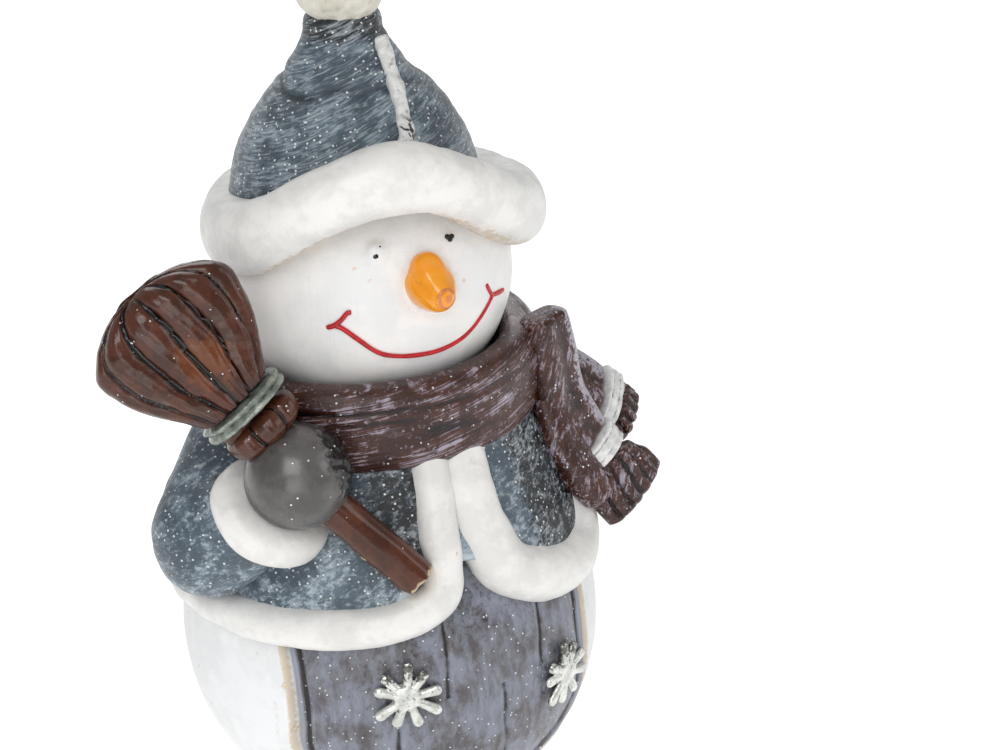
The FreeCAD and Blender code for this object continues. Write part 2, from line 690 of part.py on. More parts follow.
def build():
    handle = broom_handle()
    scarf = scarf_ring()
    jacket = jacket_shell().cut(belly_ball(glue_gap)).cut(neck_post(glue_gap)).cut(head_ball(glue_gap))
    jacket = jacket.cut(front_notch())
    for arm in (right_arm, left_arm):
        jacket = jacket.cut(arm.shoulder_peg(glue_gap, peg_clearance))
        jacket = jacket.cut(arm.mitten(glue_gap)).cut(arm.cuff(glue_gap))
        jacket = jacket.cut(arm.wrist_peg(glue_gap, peg_clearance))
    jacket = jacket.cut(broom_handle(glue_gap)).cut(back_tail_peg(glue_gap, peg_clearance))

    ring = scarf.cut(head_ball(glue_gap)).cut(jacket_shell(glue_gap)).cut(neck_post(glue_gap))
    ring = ring.cut(right_arm.mitten(glue_gap)).cut(right_arm.cuff(glue_gap))
    ring = ring.cut(front_tail_peg(glue_gap, peg_clearance)).cut(back_tail_peg(glue_gap, peg_clearance))

    parts = {
        "base_felt": make_felt(),
        "belly": make_belly(),
        "belly_panel": make_panel(),
        "head": make_head(),
        "nose": make_nose(),
        "eyes": Part.makeCompound(make_eyes()),
        "mouth": make_mouth(),
        "hat": make_hat(),
        "hat_brim": make_brim(),
        "hat_seam": make_seam(),
        "pompom": make_pompom(),
        "jacket": largest(jacket),
        "scarf": ring,
        "broom_handle": handle,
        "broom_collar": make_collar(),
        "broom_tie": make_tie(),
        "broom_fan": make_fan(),
    }
    for name, seat in charm_seats.items():
        parts[name] = make_charm(seat)

    scarf_seat = scarf_ring(glue_gap)
    tail_seats = [scarf_seat, jacket_shell(glue_gap), left_trim(glue_gap)]
    tails = {
        "front": (front_strip, front_tail(), (front_tie_sizes, front_fringe_sizes, 4), front_tail_peg(),
                  tail_seats),
        "back": (back_strip, back_strip.length(0, back_tail_sizes), (back_tie_sizes, back_fringe_sizes, 2),
                 back_tail_peg(), tail_seats + [front_tail(glue_gap)]),
    }
    for side, pieces in tails.items():
        tail, tie, fringe = make_tail_pieces(*pieces)
        parts["scarf_tail_" + side] = tail
        parts["tail_tie_" + side] = tie
        parts["tail_fringe_" + side] = fringe
    arm_covers = []
    for arm in (right_arm, left_arm):
        arm_covers += [arm.sleeve(glue_gap), arm.cuff(glue_gap), arm.mitten(glue_gap)]
    parts["trim_right"] = seat_trim(right_trim(), scarf_seat, broom_handle(glue_gap), *arm_covers)
    parts["trim_left"] = seat_trim(left_trim(), scarf_seat, right_trim(glue_gap))
    for side, arm in (("right", right_arm), ("left", left_arm)):
        sleeve = arm.sleeve().cut(jacket_shell(glue_gap)).cut(belly_ball(glue_gap)).cut(scarf_seat)
        sleeve = sleeve.cut(arm.cuff(glue_gap)).cut(arm.mitten(glue_gap)).fuse(arm.shoulder_peg())
        sleeve = sleeve.cut(arm.wrist_peg(glue_gap, peg_clearance))
        cuff = arm.cuff().cut(arm.mitten(glue_gap)).cut(arm.wrist_peg(glue_gap)).cut(belly_ball(glue_gap))
        mitten = arm.mitten().fuse(arm.wrist_peg())
        if side == "right":
            mitten = mitten.cut(broom_handle(glue_gap))
            sleeve = sleeve.cut(broom_handle(glue_gap))
            cuff = cuff.cut(broom_handle(glue_gap))
        parts["sleeve_" + side] = largest(sleeve)
        parts["cuff_" + side] = largest(cuff)
        parts["mitten_" + side] = mitten
    return parts


def save(parts):
    os.makedirs("parts", exist_ok=True)
    for name, shape in parts.items():
        shape.exportStep(os.path.join("parts", name + ".step"))
        print(name, len(shape.Solids), round(shape.Volume, 1), shape.isValid())


save(build())
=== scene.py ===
import math

import bmesh
import bpy
import numpy as np
from mathutils import Euler, Matrix, Vector, noise


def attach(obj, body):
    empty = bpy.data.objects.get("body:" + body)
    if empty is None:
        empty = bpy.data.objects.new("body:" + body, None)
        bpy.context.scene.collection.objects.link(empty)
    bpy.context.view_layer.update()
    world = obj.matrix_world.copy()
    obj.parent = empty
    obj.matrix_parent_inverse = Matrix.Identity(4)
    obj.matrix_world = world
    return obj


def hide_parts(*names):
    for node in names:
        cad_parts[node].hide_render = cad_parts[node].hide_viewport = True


# Painted cast snowman figurine. Shapes are worked out in millimetres and scaled to metres
# when a piece is finished. Azimuth runs from the front (-Y) towards +X.

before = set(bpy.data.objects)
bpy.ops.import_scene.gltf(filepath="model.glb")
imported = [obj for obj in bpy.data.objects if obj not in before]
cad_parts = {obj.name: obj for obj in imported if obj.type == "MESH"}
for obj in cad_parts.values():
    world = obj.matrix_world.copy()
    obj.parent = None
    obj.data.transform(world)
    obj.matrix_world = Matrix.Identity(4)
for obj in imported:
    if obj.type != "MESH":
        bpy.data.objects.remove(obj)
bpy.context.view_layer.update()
print("frame loaded:", len(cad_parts), "nodes")

millimetre = 0.001

figure = {
    "bellyRadius": 29.4,
    "bellyHeight": 23.265,
    "headRadius": 20.3,
    "headHeight": 76.365,
    "feltThickness": 1.0,
    "footRadius": 19.2,
    "scarfRadius": 23.5,
}

bellyCentre = Vector((0, 0, figure["bellyHeight"]))
headCentre = Vector((0, 0, figure["headHeight"]))


# Places

def aim(azimuth, latitude):
    a, b = math.radians(azimuth), math.radians(latitude)
    return Vector((math.sin(a) * math.cos(b), -math.cos(a) * math.cos(b), math.sin(b)))


def onBelly(azimuth, latitude, standoff=0.0):
    return bellyCentre + aim(azimuth, latitude) * (figure["bellyRadius"] + standoff)


def onHead(azimuth, latitude, standoff=0.0):
    return headCentre + aim(azimuth, latitude) * (figure["headRadius"] + standoff)


def scarfSpot(azimuth, drop, out=0.0):
    flat = aim(azimuth, 0) * (figure["scarfRadius"] + out)
    return flat + headCentre - Vector((0, 0, drop))


def azimuthOf(point):
    return math.degrees(math.atan2(point.x, -point.y))


def seatMatrix(spot, outward, upward=(0, 0, 1)):
    # x across, y up, z outwards from the seat
    out = Vector(outward).normalized()
    across = Vector(upward).cross(out).normalized()
    up = out.cross(across)
    turn = Matrix((across, up, out)).transposed().to_4x4()
    return Matrix.Translation(spot) @ turn


def smoothStep(low, high, value):
    share = max(0.0, min(1.0, (value - low) / (high - low)))
    return share * share * (3 - 2 * share)


def bumpy(point, size, seed=0):
    # Soft lumps about size millimetres across, from -1 to 1
    return noise.noise(Vector(point) / size + Vector((7.3, 3.1, 5.7)) * seed)


def fractal(point, size, octaves=3, seed=0):
    total, weight = 0.0, 1.0
    for octave in range(octaves):
        total += bumpy(point, size / 2 ** octave, seed + octave) * weight
        weight *= 0.5
    return total


def along(stations, share, closed=False):
    # Smooth value through a list of stations, share 0 at the first and 1 at the last
    count = len(stations)
    spot = share * (count if closed else count - 1)
    index = min(int(spot), count - 1 if closed else count - 2)
    f = spot - index
    near = []
    for step in (-1, 0, 1, 2):
        place = index + step
        near.append(stations[place % count] if closed else stations[max(0, min(count - 1, place))])
    return [0.5 * (2 * q + (r - p) * f + (2 * p - 5 * q + 4 * r - s) * f * f
                   + (3 * q - p - 3 * r + s) * f ** 3) for p, q, r, s in zip(*near)]


# Mesh helpers

def makeTube(rows, sides):
    # Closed tube of unit radius: z counts the rows, and both ends close at a pole
    bm = bmesh.new()
    line = [bm.verts.new((0, 0, 0))]
    line += [bm.verts.new((1, 0, row)) for row in range(rows)]
    line.append(bm.verts.new((0, 0, rows - 1)))
    edges = [bm.edges.new(pair) for pair in zip(line, line[1:])]
    bmesh.ops.spin(bm, geom=line + edges, cent=(0, 0, 0), axis=(0, 0, 1), angle=2 * math.pi,
                   steps=sides, use_merge=True)
    bmesh.ops.remove_doubles(bm, verts=bm.verts, dist=0.0001)
    return bm


def makeRing(steps, sides):
    # Closed ring: a unit circle two units out, spun about z
    bm = bmesh.new()
    turn = Matrix.Translation((2, 0, 0)) @ Euler((math.pi / 2, 0, 0)).to_matrix().to_4x4()
    circle = bmesh.ops.create_circle(bm, segments=sides, radius=1, matrix=turn)
    edges = list({edge for vert in circle["verts"] for edge in vert.link_edges})
    bmesh.ops.spin(bm, geom=circle["verts"] + edges, cent=(0, 0, 0), axis=(0, 0, 1),
                   angle=2 * math.pi, steps=steps, use_merge=True)
    return bm


def squared(angle, power):
    # Point of a rounded square: power 2 is a circle, more is boxier
    c, s = math.cos(angle), math.sin(angle)
    return (math.copysign(abs(c) ** (2 / power), c), math.copysign(abs(s) ** (2 / power), s))


def shapeTurned(rows, sides, profile, centre, wobble=None):
    # Body of revolution about z through centre; profile lists radius and height
    bm = makeTube(rows, sides)
    for vert in bm.verts:
        reach, angle = math.hypot(vert.co.x, vert.co.y), math.atan2(vert.co.y, vert.co.x)
        share = vert.co.z / (rows - 1)
        radius, height = along(profile, share)
        extra = wobble(angle, share) if wobble and reach > 0.5 else 0.0
        if reach < 0.5:
            radius = 0.0
        flat = Vector((math.cos(angle), math.sin(angle), 0)) * (radius + extra) * (reach > 0.5)
        vert.co = centre + flat + Vector((0, 0, height))
    bmesh.ops.recalc_face_normals(bm, faces=bm.faces)
    return bm


def sweep(stations, face, rows, sides, power=2.0, endRound=1.0, swell=None):
    # Bar through stations of x, y, z, half width and half depth. Its depth faces face, which
    # is a direction or a function of the place. swell adds to a section's radius, and
    # endRound is one length for both ends or a pair.
    startRound, lastRound = endRound if isinstance(endRound, tuple) else (endRound, endRound)
    bm = makeTube(rows, sides)
    fine = [Vector(along(stations, k / 200)[:3]) for k in range(201)]
    total = sum((b - a).length for a, b in zip(fine, fine[1:]))
    sections = []
    for row in range(rows):
        even = row / (rows - 1)
        share = 0.5 * even + 0.5 * (0.5 - 0.5 * math.cos(math.pi * even))
        x, y, z, halfWidth, halfDepth = along(stations, share)
        step = 0.004
        before = Vector(along(stations, max(0.0, share - step))[:3])
        after = Vector(along(stations, min(1.0, share + step))[:3])
        tangent = (after - before).normalized()
        spot = Vector((x, y, z))
        front = Vector(face(spot)) if callable(face) else Vector(face)
        side = tangent.cross(front).normalized()
        out = side.cross(tangent).normalized()
        taper = 1.0
        for gap, rounding in ((share * total, startRound), ((1 - share) * total, lastRound)):
            if gap < rounding:
                taper *= math.sqrt(max(0.0, 1 - (1 - gap / rounding) ** 2))
        sections.append((spot, side, out, halfWidth, halfDepth, taper, share))
    for vert in bm.verts:
        reach, angle = math.hypot(vert.co.x, vert.co.y), math.atan2(vert.co.y, vert.co.x)
        spot, side, out, halfWidth, halfDepth, taper, share = sections[round(vert.co.z)]
        if reach < 0.5:
            vert.co = spot
            continue
        across, lift = squared(angle, power)
        grown = swell(share, across, lift) if swell else 0.0
        reach = side * across * (halfWidth + grown) + out * lift * (halfDepth + grown)
        vert.co = spot + reach * taper
    bmesh.ops.recalc_face_normals(bm, faces=bm.faces)
    return bm


def fuse(bm, voxel, rounds=4):
    # One closed skin over overlapping shapes, then smoothed
    mesh = bpy.data.meshes.new("blank")
    bm.to_mesh(mesh)
    bm.free()
    blank = bpy.data.objects.new("blank", mesh)
    bpy.context.scene.collection.objects.link(blank)
    skin = blank.modifiers.new("skin", "REMESH")
    skin.mode = "VOXEL"
    skin.voxel_size = voxel
    graph = bpy.context.evaluated_depsgraph_get()
    made = bpy.data.meshes.new_from_object(blank.evaluated_get(graph))
    fused = bmesh.new()
    fused.from_mesh(made)
    bpy.data.objects.remove(blank)
    bpy.data.meshes.remove(mesh)
    bpy.data.meshes.remove(made)
    for _ in range(rounds):
        bmesh.ops.smooth_vert(fused, verts=fused.verts, factor=0.5, use_axis_x=True,
                              use_axis_y=True, use_axis_z=True)
    return fused


def mergeIn(bm, part):
    # Adds one bmesh to another and frees it
    mesh = bpy.data.meshes.new("part")
    part.to_mesh(mesh)
    part.free()
    bm.from_mesh(mesh)
    bpy.data.meshes.remove(mesh)


def sculpt(bm, amount):
    # Moves each vertex along its normal by amount(place)
    bm.normal_update()
    moves = [(vert, vert.normal * amount(vert.co)) for vert in bm.verts]
    for vert, move in moves:
        vert.co += move


def markRelief(mesh, rounds, depth):
    # Attribute relief: positive in hollows, negative on ridges, about 1 at depth millimetres
    count = len(mesh.vertices)
    place = np.empty(count * 3)
    mesh.vertices.foreach_get("co", place)
    place = place.reshape(-1, 3)
    normal = np.empty(count * 3)
    mesh.vertices.foreach_get("normal", normal)
    normal = normal.reshape(-1, 3)
    pairs = np.empty(len(mesh.edges) * 2, int)
    mesh.edges.foreach_get("vertices", pairs)
    pairs = pairs.reshape(-1, 2)
    ends = np.concatenate([pairs[:, 0], pairs[:, 1]])
    others = np.concatenate([pairs[:, 1], pairs[:, 0]])
    degree = np.maximum(np.bincount(ends, minlength=count), 1)[:, None]
    soft = place.copy()
    for _ in range(rounds):
        total = np.stack([np.bincount(ends, soft[others, axis], count) for axis in range(3)], 1)
        soft = 0.4 * soft + 0.6 * total / degree
    value = ((soft - place) * normal).sum(1) / (depth * millimetre)
    value -= np.median(value)
    relief = mesh.attributes.new("relief", "FLOAT", "POINT")
    relief.data.foreach_set("value", value.astype(np.float32))


def addPiece(name, bm, material, slot, *nodes, rounds=12, depth=0.15, shade=None):
    # shade(place) from 0 to 1 says where the material's own second paint goes
    bmesh.ops.remove_doubles(bm, verts=bm.verts, dist=0.001)
    bmesh.ops.recalc_face_normals(bm, faces=bm.faces)
    shades = [shade(vert.co) for vert in bm.verts] if shade else None
    bmesh.ops.scale(bm, verts=bm.verts, vec=(millimetre,) * 3)
    mesh = bpy.data.meshes.new(name)
    bm.to_mesh(mesh)
    bm.free()
    mesh.shade_smooth()
    markRelief(mesh, rounds, depth)
    if shades:
        mesh.attributes.new("shade", "FLOAT", "POINT").data.foreach_set("value", shades)
    mesh.materials.append(material)
    piece = bpy.data.objects.new(name, mesh)
    bpy.context.scene.collection.objects.link(piece)
    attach(piece, "root")
    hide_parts(*nodes)
    print("piece", name, len(mesh.vertices), "vertices")
    return piece


# Materials

def tone(code):
    # sRGB hex to linear
    parts = [int(code[k:k + 2], 16) / 255 for k in (1, 3, 5)]
    return tuple(c / 12.92 if c <= 0.04045 else ((c + 0.055) / 1.055) ** 2.4 for c in parts) + (1.0,)


def addNode(tree, kind, inputs, settings):
    new = tree.nodes.new(kind)
    for name, value in settings.items():
        setattr(new, name, value)
    for name, value in inputs.items():
        if isinstance(value, bpy.types.NodeSocket):
            tree.links.new(value, new.inputs[name])
        else:
            new.inputs[name].default_value = value
    return new


# What a paint may hold; a look below changes only what differs. Sizes are in millimetres.
plainPaint = {
    "base": "#e4e4e2", "second": "#d8d8d6", "blotchSize": 6.0,
    "stroke": "#ffffff", "strokeSize": (6, 6, 0.4), "strokeTurn": (0, 0, 0),
    "strokeAmount": 0.0, "strokeLevel": 0.55, "strokeSoft": 0.05, "strokeGrip": 0.25,
    "strokePatch": 0.08, "hollowShade": "#6b5f52", "hollowShadeAmount": 0.4, "ridge": "#ffffff", "ridgeAmount": 0.0,
    "shade": "#808080", "shadeAmount": 1.0, "shadeRagged": 0.3,
    "glitterAmount": 0.0, "glitterRadius": 0.26, "glitterCell": 1.1, "glitter": "#f4f6f6",
    "chipAmount": 0.0, "chip": "#d9cbb0", "chipSize": 3.0,
    "roughLow": 0.35, "roughHigh": 0.5, "metallic": 0.0, "coat": 0.0, "coatRough": 0.1,
    "grainSize": 0.6, "grainDepth": 0.02, "strokeDepth": 0.0, "pitDepth": 0.0, "pitCell": 3.0,
    "ior": 1.5,
}


def makePaint(name, changes):
    look = {**plainPaint, **changes}
    material = bpy.data.materials.new(name)
    material.use_nodes = True
    tree = material.node_tree
    tree.nodes.clear()

    def add(kind, inputs=None, **settings):
        return addNode(tree, kind, inputs or {}, settings)

    own = add("ShaderNodeTexCoord").outputs["Object"]
    place = add("ShaderNodeMapping", {"Vector": own, "Scale": (1000, 1000, 1000)}).outputs[0]
    relief = add("ShaderNodeAttribute", attribute_name="relief").outputs["Fac"]
    shade = add("ShaderNodeAttribute", attribute_name="shade").outputs["Fac"]

    # two tones of the same paint, in soft blotches
    blotch = add("ShaderNodeTexNoise", {"Vector": place, "Scale": 1 / look["blotchSize"],
                                        "Detail": 5.0, "Roughness": 0.65}).outputs[0]
    blotch = add("ShaderNodeMapRange", {"Value": blotch, "From Min": 0.4, "From Max": 0.6},
                 interpolation_type="SMOOTHSTEP").outputs[0]
    colour = add("ShaderNodeMix", {0: blotch, 6: tone(look["base"]), 7: tone(look["second"])},
                 data_type="RGBA").outputs[2]

    # fine grain, also used to break up every painted edge
    grain = add("ShaderNodeTexNoise", {"Vector": place, "Scale": 1 / look["grainSize"],
                                       "Detail": 4.0, "Roughness": 0.6}).outputs[0]
    ragged = add("ShaderNodeMath", {0: grain, 1: 0.5}, operation="SUBTRACT").outputs[0]

    # second paint where the piece asks for it
    edge = add("ShaderNodeMath", {0: ragged, 1: look["shadeRagged"] * 4, 2: shade},
               operation="MULTIPLY_ADD").outputs[0]
    edge = add("ShaderNodeMapRange", {"Value": edge, "From Min": 0.3, "From Max": 0.7,
                                      "To Max": look["shadeAmount"]},
               interpolation_type="SMOOTHSTEP").outputs[0]
    colour = add("ShaderNodeMix", {0: edge, 6: colour, 7: tone(look["shade"])},
                 data_type="RGBA").outputs[2]

    # painted shade: the hollow colour laid into the hollows of every piece
    hollowShade = add("ShaderNodeMath", {0: ragged, 1: 1.2, 2: relief}, operation="MULTIPLY_ADD").outputs[0]
    hollowShade = add("ShaderNodeMapRange", {"Value": hollowShade, "From Min": 0.15, "From Max": 0.9,
                                        "To Max": look["hollowShadeAmount"]},
                 interpolation_type="SMOOTHSTEP").outputs[0]
    colour = add("ShaderNodeMix", {0: hollowShade, 6: colour, 7: tone(look["hollowShade"])},
                 data_type="RGBA").outputs[2]

    # dry-brush strokes, lighter where the bristles caught
    turn = tuple(math.radians(a) for a in look["strokeTurn"])
    stretch = tuple(1 / size for size in look["strokeSize"])
    turned = add("ShaderNodeMapping", {"Vector": place, "Rotation": turn}).outputs[0]
    stretched = add("ShaderNodeMapping", {"Vector": turned, "Scale": stretch}).outputs[0]
    stroke = add("ShaderNodeTexNoise", {"Vector": stretched, "Scale": 1.0, "Detail": 6.0,
                                        "Roughness": 0.7, "Distortion": 0.3}).outputs[0]
    gripped = add("ShaderNodeMath", {0: relief, 1: -look["strokeGrip"], 2: stroke},
                  operation="MULTIPLY_ADD").outputs[0]
    patchy = add("ShaderNodeMath", {0: blotch, 1: look["strokePatch"], 2: gripped},
                 operation="MULTIPLY_ADD").outputs[0]
    if look["strokeAmount"]:
        streak = add("ShaderNodeMapRange", {"Value": patchy,
                                            "From Min": look["strokeLevel"] - look["strokeSoft"],
                                            "From Max": look["strokeLevel"] + look["strokeSoft"],
                                            "To Max": look["strokeAmount"]}).outputs[0]
        colour = add("ShaderNodeMix", {0: streak, 6: colour, 7: tone(look["stroke"])},
                     data_type="RGBA").outputs[2]
    # lighter paint on the ridges: dry-brush on the coat, hat, scarf and panel, painted highlight on the
    # broom, stick and ties
    if look["ridgeAmount"]:
        wearAndRidgeHighlight = add("ShaderNodeMath", {0: relief, 1: -1.0, 2: ragged},
                   operation="MULTIPLY_ADD").outputs[0]
        wearAndRidgeHighlight = add("ShaderNodeMapRange", {"Value": wearAndRidgeHighlight, "From Min": 0.3, "From Max": 0.9,
                                          "To Max": look["ridgeAmount"]},
                   interpolation_type="SMOOTHSTEP").outputs[0]
        colour = add("ShaderNodeMix", {0: wearAndRidgeHighlight, 6: colour, 7: tone(look["ridge"])},
                     data_type="RGBA").outputs[2]

    rough = add("ShaderNodeMapRange", {"Value": stroke, "From Min": 0.35, "From Max": 0.65,
                                       "To Min": look["roughLow"],
                                       "To Max": look["roughHigh"]}).outputs[0]
    height = add("ShaderNodeMath", {0: ragged, 1: look["grainDepth"]}, operation="MULTIPLY").outputs[0]
    height = add("ShaderNodeMath", {0: stroke, 1: look["strokeDepth"], 2: height},
                 operation="MULTIPLY_ADD").outputs[0]

    # small pits in the cast, each darkened with painted shade in the hollow colour
    if look["pitDepth"]:
        cells = add("ShaderNodeTexVoronoi", {"Vector": place, "Scale": 1 / look["pitCell"]})
        pit = add("ShaderNodeMapRange", {"Value": cells.outputs["Distance"], "From Min": 0.05,
                                         "From Max": 0.13, "To Min": 1.0, "To Max": 0.0}).outputs[0]
        height = add("ShaderNodeMath", {0: pit, 1: -look["pitDepth"], 2: height},
                     operation="MULTIPLY_ADD").outputs[0]
        pitShade = add("ShaderNodeMath", {0: pit, 1: 0.35}, operation="MULTIPLY").outputs[0]
        colour = add("ShaderNodeMix", {0: pitShade, 6: colour, 7: tone(look["hollowShade"])},
                     data_type="RGBA").outputs[2]
    if look["chipAmount"]:
        flake = add("ShaderNodeTexNoise", {"Vector": place, "Scale": 1 / look["chipSize"],
                                           "Detail": 3.0, "Roughness": 0.55}).outputs[0]
        flake = add("ShaderNodeMapRange", {"Value": flake, "From Min": 0.76 - look["chipAmount"] * 0.2,
                                           "From Max": 0.775 - look["chipAmount"] * 0.2}).outputs[0]
        colour = add("ShaderNodeMix", {0: flake, 6: colour, 7: tone(look["chip"])},
                     data_type="RGBA").outputs[2]
        height = add("ShaderNodeMath", {0: flake, 1: -0.08, 2: height},
                     operation="MULTIPLY_ADD").outputs[0]
    if look["glitterAmount"]:
        # clear glitter beads scattered in the wet paint, thicker in drifts
        cells = add("ShaderNodeTexVoronoi", {"Vector": place, "Scale": 1 / look["glitterCell"]})
        radius = look["glitterRadius"] / look["glitterCell"]
        dot = add("ShaderNodeMapRange", {"Value": cells.outputs["Distance"], "From Min": radius * 0.55,
                                         "From Max": radius, "To Min": 1.0, "To Max": 0.0}).outputs[0]
        pick = add("ShaderNodeSeparateColor", {"Color": cells.outputs["Color"]}).outputs[0]
        drift = add("ShaderNodeTexNoise", {"Vector": place, "Scale": 1 / 7.0, "Detail": 3.0}).outputs[0]
        drift = add("ShaderNodeMath", {0: drift, 1: 1.4, 2: pick}, operation="MULTIPLY_ADD").outputs[0]
        chosen = add("ShaderNodeMath", {0: drift, 1: 1.7 - look["glitterAmount"]},
                     operation="GREATER_THAN").outputs[0]
        dot = add("ShaderNodeMath", {0: dot, 1: chosen}, operation="MULTIPLY").outputs[0]
        colour = add("ShaderNodeMix", {0: dot, 6: colour, 7: tone(look["glitter"])},
                     data_type="RGBA").outputs[2]
        height = add("ShaderNodeMath", {0: dot, 1: 0.12, 2: height},
                     operation="MULTIPLY_ADD").outputs[0]
        rough = add("ShaderNodeMix", {0: dot, 2: rough, 3: 0.22}, data_type="FLOAT").outputs[0]

    normal = add("ShaderNodeBump", {"Height": height, "Distance": millimetre,
                                    "Strength": 1.0}).outputs[0]
    shader = add("ShaderNodeBsdfPrincipled", {
        "Base Color": colour, "Roughness": rough, "Metallic": look["metallic"], "IOR": look["ior"],
        "Coat Weight": look["coat"], "Coat Roughness": look["coatRough"], "Normal": normal})
    add("ShaderNodeOutputMaterial", {"Surface": shader.outputs[0]})
    return material


# Acrylic on cast resin: satin white with faint pits, cream where the resin shows, warm painted shade in its
# hollows
bellyPaint = makePaint("whiteAcrylicOnResin", {
    "base": "#eaebec", "second": "#e1e2e3", "blotchSize": 9, "hollowShade": "#b8aa98",
    "hollowShadeAmount": 0.5, "shade": "#cfc3ae", "shadeRagged": 0.12,
    "pitDepth": 0.1, "pitCell": 2.6, "chipAmount": 0.25,
    "grainDepth": 0.05, "roughLow": 0.32, "roughHigh": 0.48})

# Smoother white with upright brush marks, faint warm painted shade in its hollows
facePaint = makePaint("satinAcrylicFace", {
    "base": "#ebe9e6", "second": "#e2e2e2", "blotchSize": 7, "hollowShade": "#c9b39e",
    "hollowShadeAmount": 0.3, "strokeSize": (0.7, 0.7, 7), "strokeDepth": 0.08, "grainDepth": 0.03,
    "shade": "#d8bfae", "roughLow": 0.28, "roughHigh": 0.4})

# Thick white paint on moulded fur: satin, stippled, warm painted shade in its creases and along the brim's
# underside
furPaint = makePaint("thickWhiteStipple", {
    "base": "#e8e7e4", "second": "#dbdad7", "blotchSize": 5, "hollowShade": "#a3917b",
    "hollowShadeAmount": 0.55, "grainSize": 0.9, "grainDepth": 0.08, "shade": "#c3b39c",
    "roughLow": 0.32, "roughHigh": 0.5, "chipAmount": 0.1})

# The same paste left creamier on the ball of the hat, with darker painted shade in its hollows
pompomPaint = makePaint("creamyStipple", {
    "base": "#dcd8cd", "second": "#cbc6b9", "blotchSize": 4, "hollowShade": "#94836a",
    "hollowShadeAmount": 0.7, "grainSize": 0.9, "grainDepth": 0.09, "roughLow": 0.32,
    "roughHigh": 0.5})

# Blue-grey acrylic, dry-brushed round with silver white and dusted with glitter; painted shade nearly black
# in its folds, on its right side and under the wrist
coatPaint = makePaint("dryBrushedCoatAcrylic", {
    "base": "#42505b", "second": "#5a6b77", "blotchSize": 5.0, "stroke": "#c6d0d7",
    "strokeSize": (1.0, 1.0, 0.5), "strokeTurn": (6, 25, 0), "strokeAmount": 0.6,
    "strokeLevel": 0.64, "strokeSoft": 0.09, "strokeGrip": 0.1, "strokeDepth": 0.16,
    "strokePatch": 0.12, "hollowShade": "#14181b", "hollowShadeAmount": 0.8, "ridge": "#c4ced4",
    "ridgeAmount": 0.5, "shade": "#14191d", "shadeRagged": 0.5, "glitterAmount": 0.75,
    "glitterCell": 0.9, "glitterRadius": 0.2, "grainDepth": 0.08, "roughLow": 0.28,
    "roughHigh": 0.5})

# The same dry-brushed paint on the hat, with painted shade in its creases, under the pompom and on its right
# side
hatPaint = makePaint("dryBrushedHatAcrylic", {
    "base": "#3d4a54", "second": "#54646f", "blotchSize": 5, "stroke": "#b4c0c8",
    "strokeSize": (2.4, 2.4, 0.24), "strokeTurn": (8, 20, 0), "strokeAmount": 0.65,
    "strokeLevel": 0.6, "strokeSoft": 0.08, "strokeGrip": 0.08, "strokeDepth": 0.2,
    "hollowShade": "#14181b", "hollowShadeAmount": 0.65, "ridge": "#c4ced4", "ridgeAmount": 0.5,
    "shade": "#12171a", "glitterAmount": 0.75, "glitterCell": 0.85, "glitterRadius": 0.2,
    "grainDepth": 0.07, "roughLow": 0.26, "roughHigh": 0.46})

# Chocolate enamel: high gloss, nearly black painted shade in the grooves, a painted highlight on the ridges,
# thin amber where it is worn
broomPaint = makePaint("chocolateGlossEnamel", {
    "base": "#3d1d11", "second": "#50291a", "blotchSize": 3, "hollowShade": "#090302",
    "hollowShadeAmount": 0.98, "ridge": "#6d3d2b", "ridgeAmount": 0.35, "shade": "#7a4012",
    "shadeAmount": 0.5, "shadeRagged": 0.35, "glitterAmount": 0.24, "glitterRadius": 0.16,
    "roughLow": 0.14, "roughHigh": 0.28, "coat": 0.12, "coatRough": 0.1, "grainSize": 1.4,
    "grainDepth": 0.12, "chipAmount": 0.05, "ior": 1.45})

# Brown enamel dry-brushed with pale lilac, with nearly black painted shade in its folds
brushedBrown = {
    "base": "#33170d", "second": "#482415", "blotchSize": 3.0, "stroke": "#b9b3c4",
    "strokeSoft": 0.05, "strokeGrip": 0.09, "strokeDepth": 0.14, "hollowShade": "#090302",
    "hollowShadeAmount": 0.95, "ridge": "#8f8491", "ridgeAmount": 0.25, "shade": "#b7b1bf",
    "shadeAmount": 0.75, "shadeRagged": 0.8, "glitterAmount": 0.38, "glitterRadius": 0.18,
    "roughLow": 0.16, "roughHigh": 0.36, "coat": 0.12, "coatRough": 0.1, "grainDepth": 0.06,
    "ior": 1.45}
scarfPaint = makePaint("lilacBrushedBrown", {
    **brushedBrown,
    "strokeSize": (9, 9, 0.28), "strokeTurn": (0, 8, 0), "strokeAmount": 0.7,
    "strokeLevel": 0.67, "strokePatch": 0.12})

# The same brown on the hanging ends, brushed downwards
tailPaint = makePaint("lilacBrushedTail", {
    **brushedBrown,
    "strokeSize": (0.6, 0.6, 6), "strokeTurn": (0, -18, 0), "strokeAmount": 0.6,
    "strokeLevel": 0.63})

# Pearly grey enamel over the ball of the hand, with painted shade nearly black in its hollows
mittenPaint = makePaint("pewterGlossEnamel", {
    "base": "#5d5b5a", "second": "#4c4948", "blotchSize": 5, "hollowShade": "#100e0d",
    "hollowShadeAmount": 0.9, "shade": "#0c0b0b", "shadeRagged": 0.4, "glitterAmount": 0.3,
    "glitterRadius": 0.18, "roughLow": 0.24, "roughHigh": 0.36, "coat": 0.25, "coatRough": 0.15,
    "strokeSize": (3, 3, 4), "grainDepth": 0.03, "metallic": 0.1})

